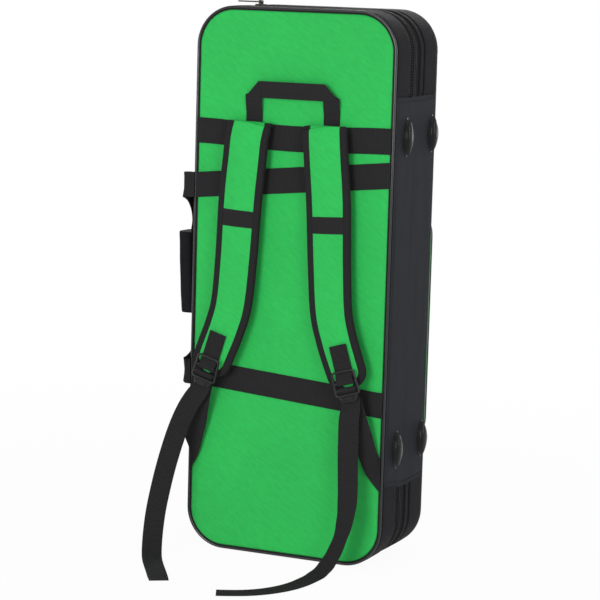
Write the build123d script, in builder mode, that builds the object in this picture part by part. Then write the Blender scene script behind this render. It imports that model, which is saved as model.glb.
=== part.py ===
from build123d import *

import os
from math import cos, radians, sin

# Tenor saxophone case: two padded halves zipped together along a hinge panel, with
# backpack straps, a grab handle, carry handles and a front pocket.
# Millimetres. +X points to the hinge side, -Y out of the back panel, +Z up.
# The origin is at floor level, half way through the depth of the back half.

# The case as a box
CASE_WIDTH = 320
CASE_HEIGHT = 820
BACK_DEPTH = 75
LID_DEPTH = 90
CORNER_RADIUS = 60

# Layers of the walls, from the outside in
PIPING_R = 2.2
SEAM = 0.1
COVER_DIP = 0.4
COVER_EDGE_R = 2.4
GUSSET_T = 6.2
WALL_T = 12
FLOOR_T = 10
LINING_T = 3
MOUTH_GAP = 2

# Zip round the case, and the panel that joins the halves where the zip stops
TAPE_WIDTH = 18
TAPE_DIP = 1.4
TAPE_T = 0.8
CHAIN_GAP = 1.6
CHAIN_WIDTH = 4.2
CHAIN_DIP = 0.4
CHAIN_T = 3.4
WELT_WIDTH = 16
WELT_DIP = 0.6
HINGE_END = 120
HINGE_PANEL_T = 1.3

# Feet on the hinge side
FOOT_LENGTH = 60
FOOT_WIDTH = 30
FOOT_HEIGHT = 10
FOOT_FLANGE_T = 1.5
FOOT_FLANGE_RIM = 1.5
FOOT_LOW_Z = 174
FOOT_HIGH_DOWN = 182
BACK_FOOT_IN = 48.5
LID_FOOT_IN = 16.5
FOOT_DOME_STEPS = 5
FOOT_DOME_TURN = 78

# Webbing sewn across the back panel
WEB_T = 1.6
WIDE_WEB = 38
YOKE_DOWN = 207
UPPER_BAND_DOWN = 80
UPPER_BAND_RISE = 33
LOWER_BAND_Z = 251
LOWER_BAND_FALL = 23

# Grab handle
GRAB_WIDTH = 150
GRAB_HEIGHT = 62
GRAB_WEB = 26
GRAB_CORNER = 22
GRAB_STUB = 14
GRAB_TILT = 9
RUNNING_CLEARANCE = 0.3

# Shoulder straps
LEFT_STRAP_X = -64
RIGHT_STRAP_X = 57
STRAP_WIDTH = 68
STRAP_EDGE_T = 9
STRAP_CROWN_T = 13
STRAP_SEWN_T = 3
STRAP_DROP = 385
STRAP_SPLAY = 55
STRAP_STAND_OFF = 16
STRAP_FOLD_R = 9
BINDING_WIDTH = 10
BINDING_LAP = 0.8
BINDING_ROUND = 0.3
KEEPER_WIDTH = 25
KEEPER_DOWN = 148
STRAP_SWING_UP = 5.5

# Buckle end of each strap
TAB_WIDTH = 27
TAB_LENGTH = 44
BAR_R = 2.2
LOCK_DOWN = 357
LOCK_WIDTH = 38
LOCK_TOP_WIDTH = 35
LOCK_LENGTH = 46
LOCK_T = 4.4
LOCK_SIDE = 3.4
LOCK_SLOT = 9
LOCK_BAR = 5
LOCK_LIP = 9
LOCK_TILT = 17
NARROW_WEB = 30
TAIL_COVERED = 18
ANCHOR_BEHIND = 2.5
ANCHOR_LOW_Z = 119
LEFT_ANCHOR_SEAM = 29
RIGHT_ANCHOR_SEAM = 49

# Carry handles on the zip side
CARRY_REACH = 28
CARRY_LOW_UP = 17
GRIP_WIDTH = 40
GRIP_T = 24
GRIP_LENGTH = 124
GRIP_BOW = 1
GRIP_LEAN = 6
GRIP_FROM_ZIP = 21.5
GRIP_RISE = 3

# Sliders and their pulls
SLIDER_LENGTH = 16
SLIDER_WIDTH = 12
SLIDER_TOP_T = 2
SLIDER_LOW_T = 1.2
SLIDER_BLADE_LENGTH = 6
SLIDER_BLADE_T = 1
BRIDGE_R = 1.3
BRIDGE_HEIGHT = 5.3
BRIDGE_POST_T = 1.6
BRIDGE_POST_LENGTH = 3.2
EYE_R = 3
EYE_WIDTH = 6.4
PULL_LENGTH = 36
PULL_WIDTH = 9
PULL_T = 2

# Front pocket
POCKET_MARGIN = 5
POCKET_LOW_Z = 150
POCKET_BELOW_BAND = 3
POCKET_CORNER = 50
POCKET_WALL = 16
POCKET_CROWN = 10
POCKET_CLOTH_T = 3
POCKET_ZIP_END = 2
POCKET_ZIP_IN = 6.8

# Inside the case
CRADLE_DEPTH = 50
BOW_BLOCK_HEIGHT = 120
BOW_BORE_R = 48
BODY_BORE_R = 34
BORE_SPACING = 118
BORE_FLOOR = 24
BELL_BLOCK_Z = 380
BELL_BLOCK_HEIGHT = 60
REST_BLOCK_DOWN = 220
REST_BLOCK_HEIGHT = 40
REST_BLOCK_WIDTH = 150
NECK_BORE_R = 22
BLOCK_ROUND = 4
BOX_WIDTH = 64
BOX_HEIGHT = 130
BOX_DEPTH = 42
BOX_WALL = 4
BOX_LID_T = 3
BOX_LID_PIN_R = 1.5
LID_PAD_WIDTH = 220
LID_PAD_HEIGHT = 560
LID_PAD_T = 16

# Places that follow from the sizes
BACK_Y = -BACK_DEPTH / 2
ZIP_Y = BACK_DEPTH / 2
LID_Y = ZIP_Y + LID_DEPTH
HALF_WIDTH = CASE_WIDTH / 2
MID_Z = CASE_HEIGHT / 2
COVER_T = 2 * PIPING_R + SEAM
FACE_Y = BACK_Y + COVER_DIP
BAND_HALF = HALF_WIDTH - COVER_T - SEAM
YOKE_Z = CASE_HEIGHT - YOKE_DOWN
YOKE_TOP = YOKE_Z + WIDE_WEB
UPPER_BAND_Z = YOKE_Z - UPPER_BAND_DOWN
CARRY_TOP_Z = UPPER_BAND_Z + WIDE_WEB / 2
CARRY_LOW_Z = LOWER_BAND_Z + CARRY_LOW_UP
GRIP_CENTRE_Z = (CARRY_TOP_Z + CARRY_LOW_Z) / 2 + GRIP_RISE
FOOT_HIGH_Z = CASE_HEIGHT - FOOT_HIGH_DOWN
POCKET_HIGH_Z = UPPER_BAND_Z - POCKET_BELOW_BAND
REST_BLOCK_Z = CASE_HEIGHT - REST_BLOCK_DOWN
CAVITY_INSET = GUSSET_T + WALL_T + LINING_T
CAVITY_HALF = HALF_WIDTH - CAVITY_INSET
CAVITY_FLOOR_Y = BACK_Y + COVER_T + FLOOR_T + LINING_T
LID_FLOOR_Y = LID_Y - COVER_T - FLOOR_T - LINING_T
POCKET_ZIP_LENGTH = CASE_WIDTH - 2 * (POCKET_MARGIN + POCKET_CORNER + POCKET_ZIP_END)
OVERRUN = CASE_WIDTH


def level(y):
    """Plane across the depth at y, drawn with X to the right and Z up."""
    return Plane.XZ.offset(-y)


def case_outline(inset, mode=Mode.ADD):
    """Rounded outline of the case, drawn in by inset."""
    with Locations((0, MID_Z)):
        RectangleRounded(
            CASE_WIDTH - 2 * inset,
            CASE_HEIGHT - 2 * inset,
            CORNER_RADIUS - inset,
            mode=mode,
        )


def slab(inset, y_from, y_to, mode=Mode.ADD):
    with BuildSketch(level(y_to)) as outline:
        case_outline(inset)
    extrude(outline.sketch, amount=y_to - y_from, mode=mode)


def band_round(inset, thickness, y_from, y_to):
    """Band that runs round the case, thickness deep from inset inwards."""
    with BuildSketch(level(y_to)) as outline:
        case_outline(inset)
        case_outline(inset + thickness, mode=Mode.SUBTRACT)
    extrude(outline.sketch, amount=y_to - y_from)


def block(x_from, x_to, y_from, y_to, z_from, z_to, mode=Mode.ADD):
    with Locations(((x_from + x_to) / 2, (y_from + y_to) / 2, (z_from + z_to) / 2)):
        Box(x_to - x_from, y_to - y_from, z_to - z_from, mode=mode)


def cut_hinge_zone(depth):
    """Takes the band away where the hinge panel covers it."""
    block(
        HALF_WIDTH - depth,
        HALF_WIDTH + OVERRUN,
        BACK_Y - OVERRUN,
        LID_Y + OVERRUN,
        HINGE_END,
        CASE_HEIGHT - HINGE_END,
        mode=Mode.SUBTRACT,
    )


def finish(part, name):
    part.label = name
    export_step(part, f"parts/{name}.step")


os.makedirs("parts", exist_ok=True)


# Foam shells, linings, covers, piping and gussets of the two halves
def half_shell(name, floor_y, mouth_y):
    """Foam tray with its floor at floor_y and its mouth at mouth_y."""
    inward = 1 if mouth_y > floor_y else -1
    inner_y = floor_y + inward * FLOOR_T
    with BuildPart() as shell:
        slab(GUSSET_T, min(floor_y, mouth_y), max(floor_y, mouth_y))
        slab(
            GUSSET_T + WALL_T,
            min(inner_y, mouth_y),
            max(inner_y, mouth_y),
            mode=Mode.SUBTRACT,
        )
    finish(shell.part, name)


def half_lining(name, floor_y, mouth_y):
    """Plush lining that covers the inside of a foam tray."""
    inward = 1 if mouth_y > floor_y else -1
    outer_y = floor_y + inward * FLOOR_T
    inner_y = outer_y + inward * LINING_T
    with BuildPart() as lining:
        slab(GUSSET_T + WALL_T, min(outer_y, mouth_y), max(outer_y, mouth_y))
        slab(CAVITY_INSET, min(inner_y, mouth_y), max(inner_y, mouth_y), mode=Mode.SUBTRACT)
    finish(lining.part, name)


def half_piping(name, face_y, inward):
    """Cord sewn into the corner between a panel and its gusset."""
    inset = PIPING_R
    with BuildPart() as piping:
        with BuildLine(level(face_y + inward * PIPING_R)):
            run = FilletPolyline(
                (-HALF_WIDTH + inset, inset),
                (HALF_WIDTH - inset, inset),
                (HALF_WIDTH - inset, CASE_HEIGHT - inset),
                (-HALF_WIDTH + inset, CASE_HEIGHT - inset),
                radius=CORNER_RADIUS - inset,
                close=True,
            )
        with BuildSketch(Plane(origin=run @ 0, z_dir=run % 0)):
            Circle(PIPING_R)
        sweep()
    finish(piping.part, name)


def half_cover(name, face_y, inward):
    """Green panel inside the piping, with a softly rounded edge."""
    outer_y = face_y + inward * COVER_DIP
    inner_y = face_y + inward * COVER_T
    with BuildPart() as cover:
        slab(COVER_T, min(outer_y, inner_y), max(outer_y, inner_y))
        outer = cover.faces().sort_by(Axis.Y)[0 if inward > 0 else -1]
        fillet(outer.edges(), radius=COVER_EDGE_R)
    finish(cover.part, name)


BACK_MOUTH_Y = ZIP_Y - MOUTH_GAP / 2
LID_MOUTH_Y = ZIP_Y + MOUTH_GAP / 2
half_shell("back_shell", BACK_Y + COVER_T, BACK_MOUTH_Y)
half_shell("lid_shell", LID_Y - COVER_T, LID_MOUTH_Y)
half_lining("back_lining", BACK_Y + COVER_T, BACK_MOUTH_Y)
half_lining("lid_lining", LID_Y - COVER_T, LID_MOUTH_Y)
half_piping("back_piping", BACK_Y, 1)
half_piping("lid_piping", LID_Y, -1)
half_cover("back_cover", BACK_Y, 1)
half_cover("lid_cover", LID_Y, -1)

BACK_TAPE_Y = ZIP_Y - TAPE_WIDTH
LID_TAPE_Y = ZIP_Y + TAPE_WIDTH
WELT_Y = LID_TAPE_Y + WELT_WIDTH
CHAIN_OUT = CHAIN_GAP / 2 + CHAIN_WIDTH

with BuildPart() as back_gusset:
    band_round(0, GUSSET_T, BACK_Y + COVER_T, BACK_TAPE_Y)
    cut_hinge_zone(HINGE_PANEL_T)
finish(back_gusset.part, "back_gusset")

with BuildPart() as lid_gusset:
    band_round(0, GUSSET_T, WELT_Y, LID_Y - COVER_T)
    cut_hinge_zone(HINGE_PANEL_T)
finish(lid_gusset.part, "lid_gusset")

with BuildPart() as lid_zip_welt:
    band_round(WELT_DIP, GUSSET_T - WELT_DIP, LID_TAPE_Y, WELT_Y)
    cut_hinge_zone(HINGE_PANEL_T)
finish(lid_zip_welt.part, "lid_zip_welt")

with BuildPart() as back_zip_tape:
    band_round(TAPE_DIP, TAPE_T, BACK_TAPE_Y, ZIP_Y - CHAIN_OUT)
    cut_hinge_zone(GUSSET_T)
finish(back_zip_tape.part, "back_zip_tape")

with BuildPart() as lid_zip_tape:
    band_round(TAPE_DIP, TAPE_T, ZIP_Y + CHAIN_OUT, LID_TAPE_Y)
    cut_hinge_zone(GUSSET_T)
finish(lid_zip_tape.part, "lid_zip_tape")

with BuildPart() as back_zip_chain:
    band_round(CHAIN_DIP, CHAIN_T, ZIP_Y - CHAIN_OUT, ZIP_Y - CHAIN_GAP / 2)
    cut_hinge_zone(GUSSET_T)
finish(back_zip_chain.part, "back_zip_chain")

with BuildPart() as lid_zip_chain:
    band_round(CHAIN_DIP, CHAIN_T, ZIP_Y + CHAIN_GAP / 2, ZIP_Y + CHAIN_OUT)
    cut_hinge_zone(GUSSET_T)
finish(lid_zip_chain.part, "lid_zip_chain")

# Hinge panel: one cloth panel, here in two leaves that meet on the hinge line
with BuildPart() as hinge_panel_back:
    block(
        HALF_WIDTH - HINGE_PANEL_T,
        HALF_WIDTH,
        BACK_Y + COVER_T,
        ZIP_Y - SEAM / 2,
        HINGE_END,
        CASE_HEIGHT - HINGE_END,
    )
    block(
        HALF_WIDTH - GUSSET_T,
        HALF_WIDTH,
        BACK_TAPE_Y,
        ZIP_Y - SEAM / 2,
        HINGE_END,
        CASE_HEIGHT - HINGE_END,
    )
finish(hinge_panel_back.part, "hinge_panel_back")

with BuildPart() as hinge_panel_lid:
    block(
        HALF_WIDTH - HINGE_PANEL_T,
        HALF_WIDTH,
        ZIP_Y + SEAM / 2,
        LID_Y - COVER_T,
        HINGE_END,
        CASE_HEIGHT - HINGE_END,
    )
    block(
        HALF_WIDTH - GUSSET_T,
        HALF_WIDTH,
        ZIP_Y + SEAM / 2,
        LID_TAPE_Y,
        HINGE_END,
        CASE_HEIGHT - HINGE_END,
    )
finish(hinge_panel_lid.part, "hinge_panel_lid")


# Feet: pointed ovals with a flange and a domed top
def almond(length, width):
    """Pointed oval where two equal circles cross."""
    radius = (length**2 + width**2) / (4 * width)
    shift = radius - width / 2
    with Locations((-shift, 0)):
        Circle(radius)
    with Locations((shift, 0)):
        Circle(radius, mode=Mode.INTERSECT)


def feet(name, foot_y):
    dome_height = FOOT_HEIGHT - FOOT_FLANGE_T
    with BuildPart() as pair:
        for foot_z in (FOOT_LOW_Z, FOOT_HIGH_Z):
            base = Plane(origin=(HALF_WIDTH, foot_y, foot_z), x_dir=(0, 1, 0), z_dir=(1, 0, 0))
            with BuildSketch(base):
                almond(FOOT_LENGTH, FOOT_WIDTH)
            extrude(amount=FOOT_FLANGE_T)
            for step in range(FOOT_DOME_STEPS + 1):
                turn = radians(FOOT_DOME_TURN * step / FOOT_DOME_STEPS)
                rise = dome_height * sin(turn) / sin(radians(FOOT_DOME_TURN))
                with BuildSketch(base.offset(FOOT_FLANGE_T + rise)):
                    almond(
                        (FOOT_LENGTH - 2 * FOOT_FLANGE_RIM) * cos(turn),
                        (FOOT_WIDTH - 2 * FOOT_FLANGE_RIM) * cos(turn),
                    )
            loft(ruled=True)
    finish(pair.part, name)


feet("back_feet", BACK_Y + BACK_FOOT_IN)
feet("lid_feet", LID_Y - LID_FOOT_IN)


# Webbing bands sewn flat across the panels
def flat_band(name, face_y, outward, low_left_z, low_right_z):
    """Band from piping to piping, its lower edge from low_left_z to low_right_z."""
    with BuildPart() as band:
        with BuildSketch(level(face_y)):
            with BuildLine():
                Polyline(
                    (-BAND_HALF, low_left_z),
                    (BAND_HALF, low_right_z),
                    (BAND_HALF, low_right_z + WIDE_WEB),
                    (-BAND_HALF, low_left_z + WIDE_WEB),
                    close=True,
                )
            make_face()
        extrude(amount=outward * WEB_T)
    finish(band.part, name)


flat_band("yoke_band", FACE_Y, 1, YOKE_Z, YOKE_Z)
flat_band("upper_handle_band", FACE_Y, 1, UPPER_BAND_Z, UPPER_BAND_Z + UPPER_BAND_RISE)
flat_band("lower_handle_band", FACE_Y, 1, LOWER_BAND_Z, LOWER_BAND_Z - LOWER_BAND_FALL)
flat_band("lid_handle_band", LID_Y - COVER_DIP, -1, UPPER_BAND_Z, UPPER_BAND_Z)

# Grab handle: a flat loop of webbing with mitred corners, its legs folded round the swing's
# axis just above the feet that are sewn under the yoke
GRAB_BASE_Z = YOKE_TOP + SEAM
GRAB_AXIS_Z = YOKE_TOP + GRAB_STUB
GRAB_BACK_Y = FACE_Y - SEAM
GRAB_AXIS_Y = GRAB_BACK_Y - WEB_T / 2
grab_half = GRAB_WIDTH / 2
grab_top = GRAB_HEIGHT - GRAB_STUB

with BuildPart() as grab_handle_feet:
    for side in (-1, 1):
        leg_x = side * (grab_half - GRAB_WEB / 2)
        block(
            leg_x - GRAB_WEB / 2,
            leg_x + GRAB_WEB / 2,
            GRAB_BACK_Y - WEB_T,
            GRAB_BACK_Y,
            GRAB_BASE_Z,
            GRAB_AXIS_Z - WEB_T / 2 - RUNNING_CLEARANCE,
        )
finish(grab_handle_feet.part, "grab_handle_feet")

grab_plane = Plane(
    origin=(0, GRAB_AXIS_Y, GRAB_AXIS_Z),
    x_dir=(1, 0, 0),
    z_dir=(0, -cos(radians(GRAB_TILT)), -sin(radians(GRAB_TILT))),
)
with BuildPart() as grab_handle:
    with BuildSketch(grab_plane.offset(-WEB_T / 2)):
        with BuildLine():
            Polyline(
                (-grab_half, 0),
                (-grab_half, grab_top - GRAB_CORNER),
                (-grab_half + GRAB_CORNER, grab_top),
                (grab_half - GRAB_CORNER, grab_top),
                (grab_half, grab_top - GRAB_CORNER),
                (grab_half, 0),
                (grab_half - GRAB_WEB, 0),
                (grab_half - GRAB_WEB, grab_top - GRAB_WEB),
                (-grab_half + GRAB_WEB, grab_top - GRAB_WEB),
                (-grab_half + GRAB_WEB, 0),
                close=True,
            )
        make_face()
    extrude(amount=WEB_T)
    for side in (-1, 1):
        leg_x = side * (grab_half - GRAB_WEB / 2)
        with Locations(Location((leg_x, GRAB_AXIS_Y, GRAB_AXIS_Z), (0, 90, 0))):
            Cylinder(WEB_T / 2, GRAB_WEB)
finish(grab_handle.part, "grab_handle")


# Ribbons: webbing that follows a route through space
def ribbon_planes(points, widths):
    """A plane across the ribbon at each point, X along the webbing's width."""
    steps = []
    for here, there in zip(points, points[1:]):
        steps.append((Vector(*there) - Vector(*here)).normalized())
    planes = []
    for n, point in enumerate(points):
        course = steps[max(n - 1, 0)] + steps[min(n, len(steps) - 1)]
        planes.append(Plane(origin=point, x_dir=widths[n], z_dir=course.normalized()))
    return planes


def ribbon(planes, widths, thickness):
    sections = []
    for plane, width in zip(planes, widths):
        with BuildSketch(plane) as section:
            Rectangle(width, thickness)
        sections.append(section.sketch)
    loft(sections, ruled=True)


# Shoulder straps. Each row holds the shares of the drop, of the sideways splay and of the
# stand-off from the panel, then the shares of the full thickness and of the width.
STRAP_PATH_SHARES = (
    (0.065, 0.05, 0.98, 1.0, 1.0),
    (0.13, 0.09, 1.0, 1.0, 1.0),
    (0.29, 0.19, 1.0, 1.0, 1.0),
    (0.52, 0.27, 1.02, 1.0, 0.97),
    (0.70, 0.37, 1.08, 1.0, 0.95),
    (0.80, 0.55, 1.14, 1.0, 0.93),
    (0.87, 0.73, 1.2, 1.0, 0.92),
    (0.94, 0.92, 1.22, 0.95, 0.9),
)
STRAP_END_SHARES = (0.985, 1.04, 1.22, 0.8, 0.72)
STRAP_TOP_Z = YOKE_TOP + RUNNING_CLEARANCE
STRAP_ROOT_Y = FACE_Y - SEAM - WEB_T - 2 * RUNNING_CLEARANCE - STRAP_SEWN_T / 2
FOLD_STEPS = 4
FOLD_GROWN_SHARES = (0, 0.05, 0.15, 0.3)


def strap_point(top_x, shares):
    side = 1 if top_x > 0 else -1
    drop, splay, stand_off = shares[:3]
    return (
        top_x + side * STRAP_SPLAY * splay,
        BACK_Y - STRAP_STAND_OFF * stand_off,
        STRAP_TOP_Z - STRAP_DROP * drop,
    )


def strap_stations(top_x):
    """Points, width directions, widths and thicknesses from the sewn top to the last full width."""
    points, widths, across, thick = [], [], [], []
    for step, grown in enumerate(FOLD_GROWN_SHARES):
        turn = radians(180 * step / FOLD_STEPS)
        points.append(
            (
                top_x,
                STRAP_ROOT_Y - STRAP_FOLD_R / 2 * (1 - cos(turn)),
                STRAP_TOP_Z + STRAP_FOLD_R / 3 * sin(turn),
            )
        )
        across.append(STRAP_WIDTH)
        thick.append(STRAP_SEWN_T + (STRAP_EDGE_T - STRAP_SEWN_T) * grown)
    for shares in STRAP_PATH_SHARES:
        points.append(strap_point(top_x, shares))
        across.append(STRAP_WIDTH * shares[4])
        thick.append(STRAP_EDGE_T * shares[3])
    for n in range(len(points)):
        low = Vector(*points[min(n + 1, len(points) - 1)])
        high = Vector(*points[max(n - 1, 0)])
        run = low - high
        lean = run.X / max(abs(run.Z), abs(run.Y))
        widths.append((1, 0, lean if n >= FOLD_STEPS else 0))
    return points, widths, across, thick


def crowned_section(width, edge, crown):
    """Flat pad section: straight drawn-in sides, with a crowned face and back."""
    half, low, high = width / 2, edge / 2, crown / 2
    with BuildLine() as outline:
        Line((-half, -low), (-half, low))
        ThreePointArc((-half, low), (0, high), (half, low))
        Line((half, low), (half, -low))
        ThreePointArc((half, -low), (0, -high), (-half, -low))
    make_face(outline.edges())


def strap(name, top_x):
    points, widths, across, thick = strap_stations(top_x)
    planes = ribbon_planes(points, widths)
    crown = STRAP_CROWN_T - STRAP_EDGE_T
    with BuildPart() as pad:
        for plane, width, edge in zip(planes, across, thick):
            grown = max(edge - STRAP_SEWN_T, SEAM) / (STRAP_EDGE_T - STRAP_SEWN_T)
            with BuildSketch(plane):
                crowned_section(
                    width - 2 * BINDING_WIDTH - 2 * RUNNING_CLEARANCE, edge, edge + crown * grown
                )
        loft(ruled=True)
    finish(pad.part, f"{name}_strap_pad")

    end_point = strap_point(top_x, STRAP_END_SHARES)
    end_plane = Plane(
        origin=end_point,
        x_dir=planes[-1].x_dir,
        z_dir=(Vector(*end_point) - Vector(*points[-1])).normalized(),
    )
    with BuildPart() as binding:
        for side in (-1, 1):
            for plane, width, edge in zip(planes, across, thick):
                with BuildSketch(plane):
                    with Locations((side * (width - BINDING_WIDTH) / 2, 0)):
                        RectangleRounded(BINDING_WIDTH, edge + BINDING_LAP, edge * BINDING_ROUND)
            loft(ruled=True)
        for plane, width, edge in (
            (planes[-1].offset(RUNNING_CLEARANCE), across[-1], thick[-1] + BINDING_LAP),
            (end_plane, STRAP_WIDTH * STRAP_END_SHARES[4], STRAP_EDGE_T * STRAP_END_SHARES[3]),
        ):
            with BuildSketch(plane):
                Rectangle(width, edge)
        loft(ruled=True)
    finish(binding.part, f"{name}_strap_binding")
    return points, planes, across, thick


def between(points, z):
    """The place on a falling route at height z, and the share along its run."""
    for n in range(FOLD_STEPS, len(points) - 1):
        high, low = points[n], points[n + 1]
        if high[2] >= z >= low[2]:
            share = (high[2] - z) / (high[2] - low[2])
            place = tuple(high[k] + (low[k] - high[k]) * share for k in range(3))
            return place, n, share
    return points[-1], len(points) - 2, 1


def keeper(name, points, planes, across):
    """Webbing sewn across the face of the pad, from binding to binding."""
    top_z = STRAP_TOP_Z - KEEPER_DOWN + KEEPER_WIDTH / 2
    with BuildPart() as strip:
        for z in (top_z, top_z - KEEPER_WIDTH):
            place, n, share = between(points, z)
            width = across[n] + (across[n + 1] - across[n]) * share
            half = width / 2 - BINDING_WIDTH - SEAM
            low = STRAP_EDGE_T / 2 + RUNNING_CLEARANCE
            high = STRAP_CROWN_T / 2 + RUNNING_CLEARANCE
            with BuildSketch(Plane(origin=place, x_dir=planes[n].x_dir, z_dir=planes[n].z_dir)):
                with BuildLine():
                    ThreePointArc((-half, low), (0, high), (half, low))
                    Line((half, low), (half, low + WEB_T))
                    ThreePointArc((half, low + WEB_T), (0, high + WEB_T), (-half, low + WEB_T))
                    Line((-half, low + WEB_T), (-half, low))
                make_face()
        loft(ruled=True)
    finish(strip.part, f"{name}_strap_keeper")


def buckle_plane(points, side):
    """Plane on the face of the strap at the ladder lock's bar: Y up the strap, Z outwards."""
    place = between(points, STRAP_TOP_Z - LOCK_DOWN)[0]
    lean = radians(LOCK_TILT)
    return Plane(
        origin=(place[0], place[1] - STRAP_CROWN_T / 2 - RUNNING_CLEARANCE, place[2]),
        x_dir=(cos(lean), 0, side * sin(lean)),
        z_dir=(0, -1, 0),
    )


BAR_HEIGHT = BAR_R + RUNNING_CLEARANCE + WEB_T


def buckle_tab(name, plane):
    """Folded webbing sewn on the strap, its fold round the ladder lock's bar."""
    eye_inner = BAR_R + RUNNING_CLEARANCE
    eye_outer = eye_inner + WEB_T
    side_view = Plane(origin=plane.origin, x_dir=plane.y_dir, z_dir=plane.x_dir)
    # in the side view the strap's face runs along X, and Y points into the strap
    with BuildPart() as tab:
        with BuildSketch(side_view.offset(-TAB_WIDTH / 2)):
            with BuildLine():
                Polyline(
                    (0, 0),
                    (TAB_LENGTH, 0),
                    (TAB_LENGTH, WEB_T),
                    (eye_outer * 2, 2 * WEB_T),
                    (0, 2 * eye_outer),
                    close=True,
                )
            make_face()
            with Locations((0, eye_outer)):
                Circle(eye_outer)
                Circle(eye_inner, mode=Mode.SUBTRACT)
        extrude(amount=TAB_WIDTH)
    finish(tab.part, f"{name}_buckle_tab")


def lock_outline():
    """Trapezoid frame that grows wider from the bar to the lip."""
    with BuildLine() as outline:
        Polyline(
            (-LOCK_TOP_WIDTH / 2, BAR_R),
            (LOCK_TOP_WIDTH / 2, BAR_R),
            (LOCK_WIDTH / 2, BAR_R - LOCK_LENGTH + LOCK_LIP),
            (LOCK_WIDTH / 3, BAR_R - LOCK_LENGTH),
            (-LOCK_WIDTH / 3, BAR_R - LOCK_LENGTH),
            (-LOCK_WIDTH / 2, BAR_R - LOCK_LENGTH + LOCK_LIP),
            close=True,
        )
    make_face(outline.edges())


def ladder_lock(name, plane):
    """Moulded buckle: a frame with a round top bar, a cross bar and a thumb lip."""
    slot_width = LOCK_TOP_WIDTH - 2 * LOCK_SIDE
    bar_z = plane.z_dir * BAR_HEIGHT
    with BuildPart() as lock:
        with BuildSketch(plane.offset(BAR_HEIGHT - LOCK_T / 2)):
            lock_outline()
            slot_top = BAR_R + SEAM
            for slot_length in (LOCK_SLOT + 2 * BAR_R, LOCK_SLOT):
                with Locations((0, slot_top - slot_length / 2)):
                    Rectangle(slot_width, slot_length, mode=Mode.SUBTRACT)
                slot_top -= slot_length + LOCK_BAR
        extrude(amount=LOCK_T)
        lip = lock.faces().filter_by(Axis.Y).sort_by(Axis.Y)[0]
        lip_edge = lip.outer_wire().edges().sort_by(Axis.Z)[0]
        fillet(lip_edge, radius=LOCK_T / 3)
        bar_end = Plane(origin=plane.origin + bar_z, x_dir=plane.y_dir, z_dir=plane.x_dir)
        with BuildSketch(bar_end.offset(-slot_width / 2 - LOCK_SIDE / 2)):
            Circle(BAR_R)
        extrude(amount=slot_width + LOCK_SIDE)
    finish(lock.part, f"{name}_ladder_lock")


straps = {}
for strap_name, strap_x in (("left", LEFT_STRAP_X), ("right", RIGHT_STRAP_X)):
    strap_side = 1 if strap_x > 0 else -1
    strap_points, strap_planes, strap_across, strap_thick = strap(strap_name, strap_x)
    keeper(strap_name, strap_points, strap_planes, strap_across)
    straps[strap_name] = buckle_plane(strap_points, strap_side)
    buckle_tab(strap_name, straps[strap_name])
    ladder_lock(strap_name, straps[strap_name])


TAIL_HEIGHT = BAR_HEIGHT - LOCK_T / 2 - RUNNING_CLEARANCE - WEB_T / 2
ANCHOR_HEIGHT = TAIL_HEIGHT - WEB_T - ANCHOR_BEHIND

# Free tails of webbing below the ladder locks, and the anchors that hold the locks down.
# Each row is a point of the route, from the lock on, and the direction of the width there.
LEFT_TAIL = (
    ((-137, -71, 234), (0.86, 0.2, -0.42)),
    ((-147, -76, 214), (0.8, 0.32, -0.45)),
    ((-156, -83, 186), (0.85, 0.36, -0.3)),
    ((-162, -91, 157), (0.88, 0.38, -0.2)),
    ((-167, -99, 127), (0.9, 0.4, -0.1)),
    ((-170, -108, 97), (0.91, 0.42, -0.05)),
    ((-172, -117, 67), (0.91, 0.42, 0)),
    ((-172, -124, 40), (0.9, 0.44, 0)),
    ((-170, -131, 19), (0.88, 0.48, 0)),
    ((-164, -143, 5), (0.86, 0.52, 0)),
    ((-153, -161, 1.2), (0.85, 0.53, 0)),
    ((-137, -186, 1.1), (0.85, 0.53, 0)),
    ((-118, -215, 1.1), (0.85, 0.53, 0)),
    ((-95, -251, 1.1), (0.85, 0.53, 0)),
)
RIGHT_TAIL = (
    ((117, -70, 231), (0.96, 0.2, 0.1)),
    ((117, -69, 203), (0.93, 0.36, 0)),
    ((118, -71, 173), (0.93, 0.36, -0.05)),
    ((120, -73, 142), (0.95, 0.26, -0.08)),
    ((122, -76, 111), (0.97, 0.1, -0.05)),
    ((121, -80, 81), (0.96, -0.2, 0.1)),
    ((116, -85, 53), (0.9, -0.4, 0.2)),
    ((108, -92, 28), (0.92, -0.3, 0.2)),
    ((99, -103, 9), (0.97, -0.15, 0.12)),
    ((93, -121, 1.6), (1, 0.05, 0.02)),
    ((91, -144, 1.1), (1, 0.02, 0)),
    ((89, -169, 1.1), (0.98, -0.14, 0)),
    ((82, -196, 1.1), (0.93, -0.36, 0)),
    ((69, -222, 1.1), (0.84, -0.54, 0)),
    ((51, -244, 1.1), (0.7, -0.71, 0)),
    ((28, -260, 1.1), (0.5, -0.86, 0)),
    ((6, -270, 1.1), (0.4, -0.91, 0)),
)


def tail(name, plane, rows):
    points, widths = [], []
    for down in (LOCK_LENGTH - TAIL_COVERED, LOCK_LENGTH):
        place = plane.origin - plane.y_dir * down + plane.z_dir * TAIL_HEIGHT
        points.append((place.X, place.Y, place.Z))
        widths.append(plane.x_dir)
    points += [row[0] for row in rows]
    widths += [row[1] for row in rows]
    with BuildPart() as web:
        ribbon(ribbon_planes(points, widths), [NARROW_WEB] * len(points), WEB_T)
    finish(web.part, f"{name}_strap_tail")
    runs = [Vector(*b) - Vector(*a) for a, b in zip(points, points[1:])]
    radii = []
    for here, there in zip(runs, runs[1:]):
        turn = radians(max(here.get_angle(there), 1))
        radii.append(round(0.9 * min(here.length, there.length) / turn))
    print(f"{name} tail: {round(sum(run.length for run in runs))} mm long, bends {radii}")


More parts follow.
